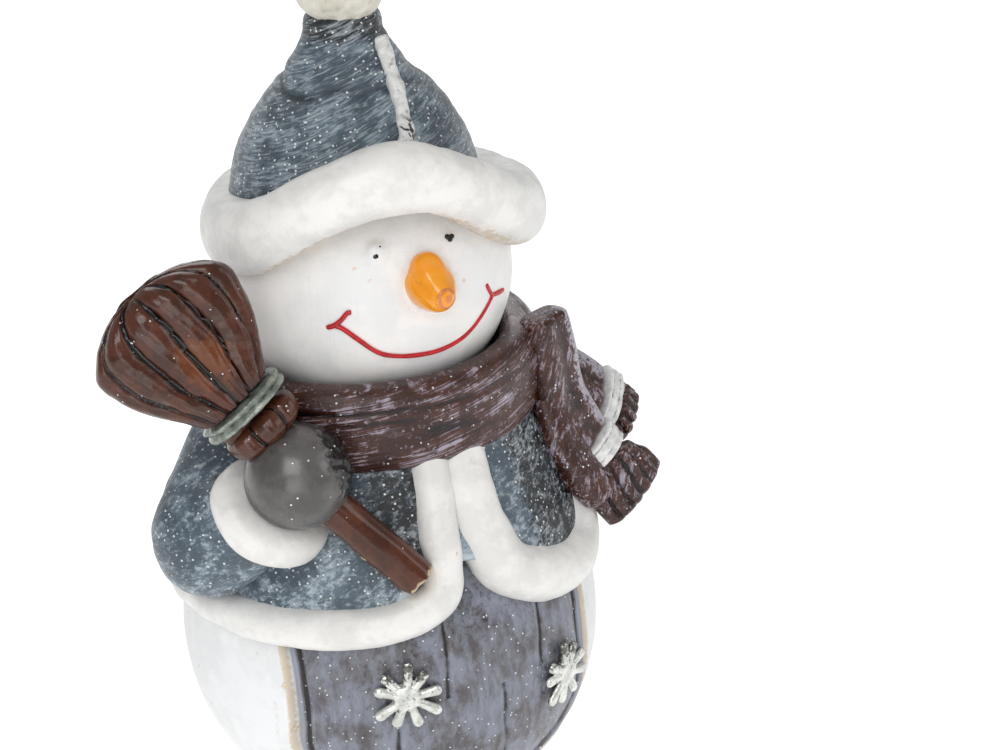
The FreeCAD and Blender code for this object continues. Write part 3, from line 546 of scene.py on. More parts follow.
# Blotchy grey-lilac wash, brushed upright over dark planks; painted shade nearly black in the plank grooves,
# painted shadow round the charms and under the coat
panelPaint = makePaint("lilacGreyPlankWash", {
    "base": "#545052", "second": "#66656c", "blotchSize": 6.0, "stroke": "#9aa2b2",
    "strokeSize": (1.6, 1.6, 4.5), "strokeAmount": 0.5, "strokeLevel": 0.56,
    "strokeSoft": 0.12, "strokeGrip": 0.14, "strokePatch": 0.1, "hollowShade": "#120c0a",
    "hollowShadeAmount": 0.96, "shade": "#2d2c30", "shadeAmount": 0.75, "shadeRagged": 0.7,
    "glitterAmount": 0.6, "glitterRadius": 0.17, "glitterCell": 0.9, "ridge": "#a9b0bf",
    "ridgeAmount": 0.35, "roughLow": 0.26, "roughHigh": 0.42, "grainDepth": 0.08})

# Cast charm in bright silver lacquer with painted shade in its corners and where it sits on the panel,
# darker on its upper arms
charmPaint = makePaint("castSilverLacquer", {
    "base": "#e4e5e0", "second": "#c6c8c2", "blotchSize": 1.5, "hollowShade": "#1d1b16",
    "hollowShadeAmount": 0.95, "metallic": 0.6, "roughLow": 0.16, "roughHigh": 0.28,
    "shade": "#33302a", "shadeAmount": 0.85, "shadeRagged": 0.8, "grainSize": 0.5,
    "grainDepth": 0.08})

# Silver lacquer with a green cast over the cord, with painted highlights on its ridges and painted shade in
# its grooves
tiePaint = makePaint("silverLacquerTie", {
    "base": "#979e94", "second": "#6b7369", "blotchSize": 1.6, "hollowShade": "#171a13",
    "hollowShadeAmount": 0.95, "ridge": "#f4f7f0", "ridgeAmount": 0.95, "metallic": 0.45,
    "roughLow": 0.13, "roughHigh": 0.24, "coat": 0.2, "coatRough": 0.1, "grainDepth": 0.08,
    "strokeSize": (3, 3, 0.8), "strokeDepth": 0.2})

# White enamel cord, with painted highlights on its ridges and painted shade in its grooves
whiteTiePaint = makePaint("whiteCordEnamel", {
    "base": "#e6e6e4", "second": "#cdcecd", "blotchSize": 1.4, "hollowShade": "#38362f",
    "hollowShadeAmount": 0.9, "ridge": "#f8f8f6", "ridgeAmount": 0.6, "shade": "#2a2d27",
    "shadeRagged": 0.4, "roughLow": 0.22, "roughHigh": 0.38, "grainDepth": 0.08})

# Orange gloss enamel, with deeper orange painted shade in its hollows
nosePaint = makePaint("orangeGlossEnamel", {
    "base": "#ee9412", "second": "#f09c1c", "blotchSize": 3, "hollowShade": "#a4520c",
    "hollowShadeAmount": 0.6, "shade": "#cf7a3c", "shadeRagged": 0.15, "roughLow": 0.16,
    "roughHigh": 0.24, "coat": 0.5, "coatRough": 0.06, "grainDepth": 0.02})

# Drops of black gloss enamel
eyePaint = makePaint("blackGlossDrop", {
    "base": "#0b0b0c", "second": "#121213", "roughLow": 0.1, "roughHigh": 0.16,
    "hollowShadeAmount": 0.0, "grainDepth": 0.01})

# A hand-painted red line, slightly raised
mouthPaint = makePaint("redEnamelLine", {
    "base": "#c01620", "second": "#a6121b", "blotchSize": 1.2, "hollowShadeAmount": 0.0,
    "roughLow": 0.22, "roughHigh": 0.35, "grainDepth": 0.04})

# Dense dark craft felt under the foot
feltCloth = makePaint("pressedCraftFelt", {
    "base": "#3b3c40", "second": "#46474b", "blotchSize": 1.2, "hollowShadeAmount": 0.0,
    "roughLow": 0.9, "roughHigh": 1.0, "grainSize": 0.35, "grainDepth": 0.25})
# Crusty white paste, with painted shade nearly black in its hollows
seamPaint = makePaint("crustyWhitePaste", {
    "base": "#dddedc", "second": "#c9cac7", "blotchSize": 1.4, "hollowShade": "#16150f",
    "hollowShadeAmount": 0.9, "grainSize": 0.5, "grainDepth": 0.12, "shade": "#121211", "shadeRagged": 0.3})
# Chocolate enamel on the stick: painted highlight on its ridges, painted shade in its hollows, cream where
# chipped
handlePaint = makePaint("chocolateStickEnamel", {
    "base": "#3f1c0c", "second": "#532a16", "blotchSize": 4, "hollowShade": "#090302",
    "hollowShadeAmount": 0.85, "shade": "#cbb594", "shadeAmount": 0.9, "shadeRagged": 0.35,
    "glitterAmount": 0.12, "glitterRadius": 0.16, "roughLow": 0.12, "roughHigh": 0.24,
    "coat": 0.12, "coatRough": 0.1, "grainDepth": 0.06, "ridge": "#6d3d2b",
    "ridgeAmount": 0.3, "ior": 1.45})

print("materials ready")


# Belly and its planked panel

panel = {
    "middle": 0.1, "halfWidth": 20.9, "top": 42.9, "corner": 18.67, "foot": 4.0,
    "recess": 1.3, "rimRise": 0.3, "skin": 0.1,
    "columns": 168, "rows": 190, "edgeBead": 0.35, "plankDepth": 0.6, "plankWidth": 0.42,
    "upperPlanks": (-4.0, 27.5), "lowerPlanks": (-19.0, 13.0), "plankBreak": 24.3,
}


def panelEdge(x, z):
    # Millimetres outside the panel's outline in front view, negative within
    across = abs(x - panel["middle"])
    if z >= panel["corner"]:
        return max(across - panel["halfWidth"], z - panel["top"])
    a = across / panel["halfWidth"]
    b = (panel["corner"] - z) / (panel["corner"] - panel["foot"])
    size = math.hypot(a, b)
    slope = math.hypot(a / panel["halfWidth"], b / (panel["corner"] - panel["foot"]))
    return (size - 1) * size / max(slope, 0.001)


def makeBelly():
    bm = bmesh.new()
    bmesh.ops.create_icosphere(bm, subdivisions=7, radius=figure["bellyRadius"],
                               matrix=Matrix.Translation(bellyCentre))

    def surface(place):
        lump = 0.22 * bumpy(place, 11) + 0.05 * bumpy(place, 2.2, 3)
        if place.y > -2:
            return lump
        edge = panelEdge(place.x, place.z)
        sink = -panel["recess"] * (1 - smoothStep(-0.2, 0.75, edge))
        rim = panel["rimRise"] * smoothStep(0.4, 0.9, edge) * (1 - smoothStep(1.2, 2.4, edge))
        return lump * smoothStep(0, 3, edge) + sink + rim * (1 + 0.6 * bumpy(place, 3, 5))

    sculpt(bm, surface)
    for vert in bm.verts:
        vert.co.z = max(vert.co.z, figure["feltThickness"])

    def rimTone(place):
        if place.y > -2:
            return 0.0
        edge = panelEdge(place.x, place.z)
        return smoothStep(-0.6, 0.2, edge) * (1 - smoothStep(0.9, 1.6, edge)) * 0.75
    addPiece("bellyCasting", bm, bellyPaint, "belly_white", "belly", shade=rimTone, rounds=8)


def makePanel():
    bm = bmesh.new()
    bmesh.ops.create_grid(bm, x_segments=panel["columns"], y_segments=panel["rows"], size=1)
    drop = panel["corner"] - panel["foot"]
    height = panel["top"] - panel["foot"]
    footShare = 0.34
    for vert in bm.verts:
        u, v = vert.co.x, (vert.co.y + 1) / 2
        if v < footShare:
            turn = v / footShare * math.pi / 2
            z = panel["corner"] - drop * math.cos(turn)
            width = math.sin(turn)
        else:
            z = panel["corner"] + (height - drop) * (v - footShare) / (1 - footShare)
            width = 1.0
        x = panel["middle"] + u * width * panel["halfWidth"]
        edge = -panelEdge(x, z)
        lump = 0.12 * fractal((x, 0, z * 0.5), 5) + 0.08 * bumpy((x * 1.6, 0, z * 0.5), 1.5, 4)
        depth = 0.0
        wave = 0.5 * bumpy((z, 3, 0), 6)
        planks = panel["upperPlanks"] if z > panel["plankBreak"] else panel["lowerPlanks"]
        for azimuth in planks:
            line = figure["bellyRadius"] * 0.94 * math.sin(math.radians(azimuth)) + wave
            near = abs(x - line) / panel["plankWidth"]
            ragged = 0.55 + 0.45 * bumpy((line, 0, z), 4, 6)
            depth += panel["plankDepth"] * ragged * math.exp(-near * near)
        bead = math.exp(-((edge - 0.45) / 0.3) ** 2) - 1.1 * math.exp(-((edge - 1.15) / 0.28) ** 2)
        sink = 0.7 * (1 - smoothStep(-0.1, 0.5, edge))
        radius = figure["bellyRadius"] + panel["skin"] + lump - depth - sink + panel["edgeBead"] * bead
        side = x * x + (z - bellyCentre.z) ** 2
        y = -math.sqrt(max(1.0, figure["bellyRadius"] ** 2 - side))
        place = Vector((x, y, z)) - bellyCentre
        vert.co = bellyCentre + place.normalized() * radius
    bmesh.ops.remove_doubles(bm, verts=bm.verts, dist=0.01)
    rim = [edge for edge in bm.edges if edge.is_boundary]
    wall = bmesh.ops.extrude_edge_only(bm, edges=rim)["geom"]
    for vert in (item for item in wall if isinstance(item, bmesh.types.BMVert)):
        vert.co = bellyCentre + (vert.co - bellyCentre) * 0.955
    back = [edge for edge in bm.edges if edge.is_boundary]
    bmesh.ops.edgeloop_fill(bm, edges=back)

    def shadow(place):
        # painted shadow round each charm, and painted shade high on the panel under the coat's hem
        charmShadow = 0.0
        for azimuth, latitude in (charm["right"], charm["left"]):
            charmShadow += 0.6 * math.exp(-((place - onBelly(azimuth, latitude)).length / 5.5) ** 2)
        return charmShadow + 0.45 * smoothStep(29, 36, place.z)
    addPiece("plankPanel", bm, panelPaint, "panel_grey", "belly_panel", shade=shadow, rounds=8,
             depth=0.12)


charm = {"radius": 5.2, "thickness": 1.4, "arms": 9, "hubRadius": 2.2, "armRoot": 0.62,
         "armTip": 0.82, "voxel": 0.12, "right": (-15.2, 4.9), "left": (33.0, -3.9)}


def makeCharm(name, node, azimuth, latitude, turn):
    # Star of tapered round-ended arms round a flat centre
    bm = bmesh.new()
    seat = seatMatrix(onBelly(azimuth, latitude, 0.1), aim(azimuth, latitude))
    middle = charm["thickness"] / 2
    bmesh.ops.create_cone(bm, segments=24, cap_ends=True, radius1=charm["hubRadius"],
                          radius2=charm["hubRadius"] * 0.75, depth=charm["thickness"] * 0.95,
                          matrix=Matrix.Translation((0, 0, middle)))
    for arm in range(charm["arms"]):
        angle = math.radians(turn) + 2 * math.pi * (arm + 0.12 * math.sin(arm * 2.7)) / charm["arms"]
        reach = charm["radius"] * (0.93 + 0.07 * math.sin(arm * 4.1))
        beads = 26
        for bead in range(beads):
            share = bead / (beads - 1)
            width = charm["armRoot"] + (charm["armTip"] - charm["armRoot"]) * share ** 1.5
            out = 0.9 + (reach - charm["armTip"] - 0.9) * share
            place = Matrix.Translation((math.cos(angle) * out, math.sin(angle) * out, middle * 0.95))
            squash = Matrix.Diagonal((width, width, middle * (1 - 0.18 * share), 1))
            bmesh.ops.create_icosphere(bm, subdivisions=2, radius=1, matrix=place @ squash)
    bm = fuse(bm, charm["voxel"], rounds=5)
    bmesh.ops.transform(bm, matrix=seat, verts=bm.verts)
    home = seat.inverted()

    def upperDarkAndFootShade(place):
        # darker on the upper arms, and painted shade low on their sides where they sit on the panel
        local = home @ place
        upper = smoothStep(0.8, 3.5, local.y + 0.5 * bumpy(place, 2, 31))
        return max(0.7 * upper * smoothStep(2.0, 3.4, local.xy.length), smoothStep(0.75, 0.35, local.z))
    addPiece(name, bm, charmPaint, "charm_silver", node, rounds=10, depth=0.12, shade=upperDarkAndFootShade)


def makeFelt():
    # Pressed disc with a softly rounded edge
    radius, thick = figure["footRadius"] - 0.8, figure["feltThickness"]
    profile = [(0, 0), (radius * 0.6, 0), (radius - 0.2, 0), (radius, thick * 0.35),
               (radius, thick * 0.7), (radius - 0.2, thick), (radius * 0.6, thick), (0, thick)]
    bm = shapeTurned(60, 120, profile, Vector((0, 0, 0)))
    for vert in bm.verts:
        vert.co.z = min(thick, max(0.0, vert.co.z))
    addPiece("feltPad", bm, feltCloth, "felt", "base_felt")


makeBelly()
makePanel()
makeCharm("charmRight", "snowflake_right", *charm["right"], 8)
makeCharm("charmLeft", "snowflake_left", *charm["left"], 20)
makeFelt()


# Head and face

face = {
    "eyeWhite": (-11.7, 24.6), "eyeWhiteSize": 1.25, "eyeWhiteRise": 0.6,
    "flakes": (14.0, 17.0), "flakeSpread": 4.5,
    "drops": ((-12.1, 23.4, 0.62, 0.5, 0.35), (-10.2, 26.3, 0.24, 0.22, 0.2),
              (19.3, 24.5, 0.36, 0.36, 0.28), (21.5, 24.1, 0.36, 0.34, 0.28),
              (20.2, 23.5, 0.4, 0.42, 0.26)),
    "smile": ((-29.4, -1.7), (-26.6, -2.8), (-21.4, -7.4), (-16.5, -12.1), (-12.2, -15.0), (-6, -16.9),
              (0, -17.8), (7.3, -18.4), (13.7, -18.0), (20.3, -16.6), (25.8, -14.1),
              (30.5, -10.7), (34.6, -7.2), (37.9, -4.2)),
    "leftTick": ((-32.7, -2.4), (-29.7, -1.5), (-26.9, 0.6), (-24.5, 3.2), (-22.9, 3.4)),
    "rightTick": ((34.2, 1.5), (35.9, -1.6), (37.9, -4.0), (42.8, -5.1), (47.8, -5.9)),
    "lineWidth": 0.33, "lineDepth": 0.26,
    "freckles": ((-20.5, 19.5, 0.3), (-15.5, 14.8, 0.32), (22.5, 7.0, 0.3), (31.0, 27.5, 0.22),
                 (-3.5, -6.5, 0.18), (44.0, 21.0, 0.25)),
}


def makeHead():
    bm = bmesh.new()
    bmesh.ops.create_icosphere(bm, subdivisions=7, radius=figure["headRadius"],
                               matrix=Matrix.Translation(headCentre))
    leftEye = onHead(*face["eyeWhite"])
    rightEye = onHead(20.3, 24.1)
    flakes = onHead(*face["flakes"])
    nose = onHead(8, 8.5)

    def surface(place):
        lump = 0.16 * bumpy(place, 9, 2) + 0.05 * bumpy(place, 2.5, 8)
        eye = face["eyeWhiteRise"] * math.exp(-((place - leftEye).length / face["eyeWhiteSize"]) ** 4)
        eye += 0.15 * math.exp(-((place - rightEye).length / 0.9) ** 4)
        near = math.exp(-((place - flakes).length / face["flakeSpread"]) ** 2)
        flake = 0.16 * near * smoothStep(0.12, 0.3, bumpy(place, 1.1, 12))
        gap = (place - nose).length
        collar = -0.12 * math.exp(-((gap - 4.0) / 0.5) ** 2)
        # a soft furrow across the lower cheek
        furrow = -0.12 * math.exp(-((place - onHead(-38, 6)).length / 4) ** 2)
        return lump + eye + flake + collar + furrow

    sculpt(bm, surface)
    freckles = [(onHead(azimuth, latitude), size) for azimuth, latitude, size in face["freckles"]]

    def warm(place):
        # bare resin in small freckles, and a flush round the seat of the nose
        freckle = max(smoothStep(size * 1.8, size * 0.7, (place - spot).length)
                      for spot, size in freckles)
        return max(0.22 * smoothStep(0.8, 0.1, abs((place - nose).length - 3.9)), 0.62 * freckle)
    addPiece("headCasting", bm, facePaint, "face_white", "head", shade=warm)


nosePiece = {
    "seat": (7.0, 10.2), "aim": (5.0, 0.5),
    # distance along, half width, half height, shift up
    "stations": ((-1.2, 2.4, 2.8, 0.7), (0.3, 3.15, 3.7, 0.6), (1.6, 3.2, 3.75, 0.45),
                 (3.0, 2.9, 3.2, 0.1), (4.2, 2.4, 2.5, -0.3), (5.1, 1.9, 1.9, -0.5),
                 (5.7, 1.3, 1.3, -0.5)),
    "ringRadius": 1.25, "ringWidth": 0.28,
}


def makeNose():
    root = onHead(*nosePiece["seat"], -1.0)
    seat = seatMatrix(root, aim(*nosePiece["aim"]))
    rows, sides = 60, 72
    bm = makeTube(rows, sides)
    for vert in bm.verts:
        reach, angle = math.hypot(vert.co.x, vert.co.y), math.atan2(vert.co.y, vert.co.x)
        share = vert.co.z / (rows - 1)
        # the last rows close over the tip
        body = min(share / 0.8, 1.0)
        cap = max(0.0, (share - 0.8) / 0.2)
        out, wide, tall, lift = along(nosePiece["stations"], body)
        closing = math.sqrt(max(0.0, 1 - cap * cap)) if reach > 0.5 else 0.0
        out += 0.55 * (1 - math.sqrt(max(0.0, 1 - cap * cap))) + 0.15 * math.sin(cap * math.pi)
        # a narrower lobe at the top
        pinch = 1 - 0.2 * smoothStep(0.15, 0.7, math.sin(angle)) * abs(math.cos(angle))
        pinch -= 0.08 * math.exp(-((math.sin(angle) - 0.35) / 0.22) ** 2) * (math.cos(angle) < 0)
        vert.co = Vector((math.cos(angle) * wide * pinch * closing,
                          math.sin(angle) * tall * closing + lift, out))
    bmesh.ops.transform(bm, matrix=seat, verts=bm.verts)
    tip = seat @ Vector((0.4, -0.5, 5.9))

    def ring(place):
        gap = (place - tip).length
        edge = math.exp(-((gap - nosePiece["ringRadius"]) / nosePiece["ringWidth"]) ** 2)
        return max(edge, 0.8 * smoothStep(0.75, 0.45, gap))
    addPiece("noseCarrot", bm, nosePaint, "nose_orange", "nose", shade=ring)


def makeEyes():
    bm = bmesh.new()
    for azimuth, latitude, wide, tall, deep in face["drops"]:
        seat = seatMatrix(onHead(azimuth, latitude, 0.28), aim(azimuth, latitude))
        shape = seat @ Matrix.Diagonal((wide, tall, deep, 1))
        bmesh.ops.create_icosphere(bm, subdivisions=4, radius=1, matrix=shape)
    addPiece("eyeDrops", bm, eyePaint, "eye_black", "eyes", rounds=2)


def paintedLine(points, rows, seed):
    stations = []
    for azimuth, latitude in points:
        spot = onHead(azimuth, latitude, 0.1)
        thick = 1 + 0.25 * bumpy(spot, 2.5, seed)
        stations.append((*spot, face["lineWidth"] * thick, face["lineDepth"] * thick))
    return sweep(stations, lambda spot: spot - headCentre, rows, 16, endRound=0.5)


def makeMouth():
    bm = paintedLine(face["smile"], 150, 21)
    for points in (face["leftTick"], face["rightTick"]):
        mergeIn(bm, paintedLine(points, 40, 22))
    addPiece("smileLine", bm, mouthPaint, "mouth_red", "mouth", rounds=2)


makeHead()
makeNose()
makeEyes()
makeMouth()


# Hat, brim, seam and pompom

hat = {
    "profile": ((0, 6.0), (10, 6.1), (17.4, 6.6), (17.4, 9.6), (16.2, 15.2), (14.2, 20.2),
                (11.4, 24.3), (7.9, 28.5), (5.5, 32.2), (4.9, 35.0), (3.2, 35.6), (0, 35.7)),
    "footRise": 10.6, "footTilt": 12.0, "footAzimuth": -20.0,
    "rows": 150, "sides": 230,
    "brimRows": ((0, -0.4, 18.5, 4.6), (13, -0.3, 17.1, 4.8), (30, -0.1, 13.7, 5.1),
                 (46, 0.2, 10.2, 5.2), (68, 0.4, 6.8, 5.3), (95, 0.1, 5.8, 5.2),
                 (130, -0.6, 6.2, 4.9), (165, -1.4, 7.0, 4.8), (200, -2.1, 7.2, 4.8),
                 (235, -3.6, 7.2, 4.8), (265, -3.4, 7.8, 4.8), (290, -1.9, 9.2, 5.0),
                 (305, -1.1, 11.0, 5.1), (318, -0.7, 14.0, 4.9), (331, -0.5, 16.5, 4.6),
                 (345, -0.4, 18.2, 4.6)),
    "brimDepth": 4.5, "brimSteps": 320, "brimSides": 72,
    "seam": ((11.0, 19.4, 0.85), (14.0, 22.0, 0.95), (18.0, 24.6, 0.8), (22.5, 26.8, 1.0),
             (27.0, 28.8, 0.8), (32, 30.8, 1.0), (37.0, 32.6, 0.85)),
    "pompomRadius": 6.4, "pompomHeight": 40.0,
    "drips": ((-60, 0.9), (-20, 0.5), (12, 1.3), (45, 0.6), (100, 1.0), (170, 0.7), (230, 1.1)),
}


def hatRadius(height):
    rows = hat["profile"][2:10]
    for (r0, z0), (r1, z1) in zip(rows, rows[1:]):
        if z0 <= height <= z1:
            return r0 + (r1 - r0) * (height - z0) / (z1 - z0)
    return rows[-1][0]


def makeHat():
    bm = shapeTurned(hat["rows"], hat["sides"], hat["profile"], headCentre)
    # the foot follows the brim, high over the face
    tilt = math.tan(math.radians(hat["footTilt"]))
    lean = aim(hat["footAzimuth"], 0) * tilt
    for vert in bm.verts:
        floor = headCentre.z + hat["footRise"] + vert.co.xy.dot(lean.xy)
        vert.co.z = max(vert.co.z, floor)

    def folds(place):
        rise = place.z - headCentre.z
        dent = (0.2 * bumpy((place.x, place.y, place.z * 1.4), 8, 3)
                + 0.12 * bumpy((place.x * 0.4, place.y * 0.4, place.z * 2), 1.6, 9))
        crease = -0.35 * math.exp(-((rise - 27 - 3 * bumpy((place.x, place.y, 0), 9)) / 0.9) ** 2)
        return (dent + crease) * smoothStep(10, 15, rise) * smoothStep(35.5, 33, rise)

    sculpt(bm, folds)

    def paintedShade(place):
        # painted shade at the top under the pompom and on the right side
        rise = place.z - headCentre.z
        side = smoothStep(25, 60, azimuthOf(place)) * smoothStep(140, 80, azimuthOf(place))
        return 0.8 * smoothStep(30.5, 34, rise) + 0.35 * side
    addPiece("hatCone", bm, hatPaint, "coat_grey", "hat", shade=paintedShade, rounds=10)


def brimAt(azimuth):
    # Stations aren't evenly spaced, so the azimuth is turned into a share of the list first
    rows = hat["brimRows"]
    angles = [row[0] for row in rows] + [360]
    azimuth %= 360
    for index, (a, b) in enumerate(zip(angles, angles[1:])):
        if a <= azimuth <= b:
            share = (index + (azimuth - a) / (b - a)) / len(rows)
            return along([row[1:] for row in rows], share % 1.0, closed=True)
    return rows[0][1:]


def makeBrim():
    bm = makeRing(hat["brimSteps"], hat["brimSides"])
    bmesh.ops.remove_doubles(bm, verts=bm.verts, dist=0.0001)
    for vert in bm.verts:
        flat = math.hypot(vert.co.x, vert.co.y)
        azimuth = math.degrees(math.atan2(vert.co.x, -vert.co.y))
        angle = math.atan2(vert.co.z, flat - 2)
        inset, rise, halfHeight = brimAt(azimuth)
        out, up = squared(angle, 2.25)
        spot = onHead(azimuth, 0, inset) + Vector((0, 0, rise))
        vert.co = spot + aim(azimuth, 0) * out * hat["brimDepth"] + Vector((0, 0, up * halfHeight))
    bmesh.ops.recalc_face_normals(bm, faces=bm.faces)

    def fur(place):
        azimuth = azimuthOf(place)
        inset, rise, halfHeight = brimAt(azimuth)
        level = (place.z - headCentre.z - rise) / halfHeight
        lump = 0.3 * bumpy(place, 8, 5) + 0.1 * bumpy(place, 3, 6)
        rough = 0.14 * bumpy(place, 0.9, 4) * smoothStep(0.2, 0.8, level) * smoothStep(-10, 30, azimuth)
        return lump + rough

    sculpt(bm, fur)

    def underShade(place):
        # painted shade along the underside of the brim
        azimuth = azimuthOf(place)
        inset, rise, halfHeight = brimAt(azimuth)
        level = (place.z - headCentre.z - rise) / halfHeight
        return 0.55 * smoothStep(-0.72, -0.98, level)
    addPiece("furBrim", bm, furPaint, "fur_white", "hat_brim", shade=underShade, rounds=8)


def makeSeam():
    # A squeezed bead of white paste up the hat's side
    stations = []
    for azimuth, rise, half in hat["seam"]:
        out = hatRadius(rise) + 0.35
        spot = headCentre + aim(azimuth, 0) * out + Vector((0, 0, rise))
        stations.append((*spot, half * 1.2, half * 0.95))
    bm = sweep(stations, lambda spot: aim(azimuthOf(spot), 25), 90, 28, endRound=0.8)
    low = headCentre.z + 24

    def crust(place):
        broken = 0.6 + 1.6 * smoothStep(low, low - 3, place.z)
        return broken * (0.22 * bumpy(place, 1.3, 2) + 0.14 * bumpy(place, 0.6, 3))
    sculpt(bm, crust)

    def creviceShade(place):
        # painted shade: black cracks low on the seam
        crack = smoothStep(0.05, 0.3, bumpy(place, 1.1, 34))
        return 0.9 * smoothStep(low + 1, low - 2, place.z) * crack
    addPiece("hatSeam", bm, seamPaint, "fur_white", "hat_seam", rounds=6, depth=0.1, shade=creviceShade)


def makePompom():
    centre = headCentre + Vector((0, 0, hat["pompomHeight"]))
    bm = bmesh.new()
    bmesh.ops.create_icosphere(bm, subdivisions=6, radius=hat["pompomRadius"],
                               matrix=Matrix.Translation(centre))
    # paste has run down over the hat below the ball
    for azimuth, reach in hat["drips"]:
        for vert in bm.verts:
            low = centre.z - vert.co.z
            turn = abs((azimuthOf(vert.co) - azimuth + 180) % 360 - 180)
            if low > 3.2 and turn < 22:
                band = smoothStep(3.2, 5.5, low) * smoothStep(6.4, 5.8, low)
                vert.co.z -= reach * (1 - turn / 22) * band
    sculpt(bm, lambda place: 0.22 * bumpy(place, 2.6, 5) + 0.14 * bumpy(place, 1.1, 6)
           - 0.12)
    addPiece("pompomBall", bm, pompomPaint, "fur_white", "pompom", rounds=8, depth=0.12)


makeHat()
makeBrim()
makeSeam()
makePompom()


# Jacket and its rolled trim

jacket = {
    "hemRadius": 28.8, "hemRise": 12.2, "midRadius": 25.7, "midRise": 23.2,
    "neckRadius": 19.6, "neckRise": 37.2, "rows": 120, "sides": 260,
    "notchX": 1.4, "notchZ": 34.3, "notchRadius": 8.0,
    "rightTrim": ((-1, 58), (-1, 42), (-4.5, 31), (-20, 25.5)), "rightRadius": 2.9, "rightSink": 0.6,
    "leftTrim": ((13, 60), (15, 45), (20, 33), (32, 26), (47, 23), (59, 26), (66, 36), (68, 50)),
    "leftRadius": 3.9, "leftSink": 1.8,
}


def jacketRadius(rise):
    # Curve through hem, middle and neck
    (x0, y0), (x1, y1), (x2, y2) = [(jacket[k + "Rise"], jacket[k + "Radius"])
                                    for k in ("hem", "mid", "neck")]
    a = (rise - x1) * (rise - x2) / ((x0 - x1) * (x0 - x2)) * y0
    b = (rise - x0) * (rise - x2) / ((x1 - x0) * (x1 - x2)) * y1
    c = (rise - x0) * (rise - x1) / ((x2 - x0) * (x2 - x1)) * y2
    return a + b + c


def straightJacketRadius(rise):
    # The trims were laid on straight runs between the same three heights
    low, mid, top = jacket["hemRise"], jacket["midRise"], jacket["neckRise"]
    if rise < mid:
        return jacket["hemRadius"] + (jacket["midRadius"] - jacket["hemRadius"]) * (rise - low) / (mid - low)
    return jacket["midRadius"] + (jacket["neckRadius"] - jacket["midRadius"]) * (rise - mid) / (top - mid)


def makeJacket():
    profile = [(0, 12.0), (20, 12.0), (jacket["hemRadius"] - 1.5, 12.0)]
    for step in range(13):
        rise = jacket["hemRise"] + (jacket["neckRise"] - jacket["hemRise"]) * step / 12
        profile.append((jacketRadius(rise), rise))
    profile += [(16, 37.6), (8, 37.6), (0, 37.6)]
    bm = shapeTurned(jacket["rows"], jacket["sides"], profile, bellyCentre)

    def folds(place):
        rise = place.z - bellyCentre.z
        lump = 0.35 * bumpy(place, 7, 7) + 0.12 * bumpy(place, 2.2, 8)
        return lump * smoothStep(12.5, 15, rise) * smoothStep(37, 34, rise)

    sculpt(bm, folds)
    for vert in bm.verts:
        gap = math.hypot(vert.co.x - jacket["notchX"], vert.co.z - jacket["notchZ"])
        if vert.co.y < 0 and gap < jacket["notchRadius"] + 0.6:
            pull = 1 - smoothStep(jacket["notchRadius"] - 0.9, jacket["notchRadius"] + 0.6, gap)
            flat = Vector((vert.co.x, vert.co.y, 0))
            if flat.length > 15:
                inner = min(flat.length, 17.0)
                flat = flat.normalized() * (flat.length + (inner - flat.length) * pull)
                vert.co.x, vert.co.y = flat.x, flat.y

    def paintedShade(place):
        # painted shade on the right side of the coat and high up beside the broom
        azimuth, rise = azimuthOf(place), place.z - bellyCentre.z
        right = smoothStep(24, 38, azimuth) * smoothStep(80, 60, azimuth) * 0.8
        beside = smoothStep(-27, -18, azimuth) * smoothStep(2, 0, azimuth) * smoothStep(17, 22, rise)
        return right + 0.75 * beside
    addPiece("coatShell", bm, coatPaint, "coat_grey", "jacket", shade=paintedShade, rounds=10)


def trimStations(neckAzimuth, seats, sink, widths):
    stations = []
    spots = [(neckAzimuth, jacket["neckRise"] + 2, jacket["neckRadius"] - 2.2),
             (neckAzimuth, jacket["neckRise"] - 1.5, jacket["neckRadius"] - 0.3)]
    for azimuth, latitude in seats:
        rise = figure["bellyRadius"] * math.sin(math.radians(latitude))
        spots.append((azimuth, rise, straightJacketRadius(rise)))
    for index, (azimuth, rise, radius) in enumerate(spots):
        wide, deep = along(widths, index / (len(spots) - 1))
        spot = bellyCentre + aim(azimuth, 0) * (radius - sink) + Vector((0, 0, rise))
        stations.append((*spot, wide, deep))
    return stations


def makeTrims():
    bellyFace = lambda spot: spot - (bellyCentre + Vector((0, 0, 4)))
    seats = list(jacket["rightTrim"]) + [(azimuth, 24) for azimuth in range(-45, -290, -24)]
    radius = jacket["rightRadius"]
    widths = [(radius * 0.95, radius * 0.95)] * 3 + [(radius, radius)] * 4
    bm = sweep(trimStations(2, seats, jacket["rightSink"], widths), bellyFace, 420, 44, endRound=1.5)
    sculpt(bm, lambda place: 0.22 * bumpy(place, 5, 3) + 0.07 * bumpy(place, 1.6, 5))
    addPiece("trimRight", bm, furPaint, "fur_white", "trim_right", rounds=8)
    radius = jacket["leftRadius"]
    widths = [(radius * 0.9, radius * 0.9), (radius, radius), (radius, radius), (radius * 0.95, radius)]
    bm = sweep(trimStations(16, jacket["leftTrim"], jacket["leftSink"], widths), bellyFace, 220, 60,
               endRound=1.5)
    sculpt(bm, lambda place: 0.2 * bumpy(place, 5, 9) + 0.07 * bumpy(place, 1.6, 6))
    addPiece("trimLeft", bm, furPaint, "fur_white", "trim_left", rounds=8)


makeJacket()
makeTrims()


# Arms

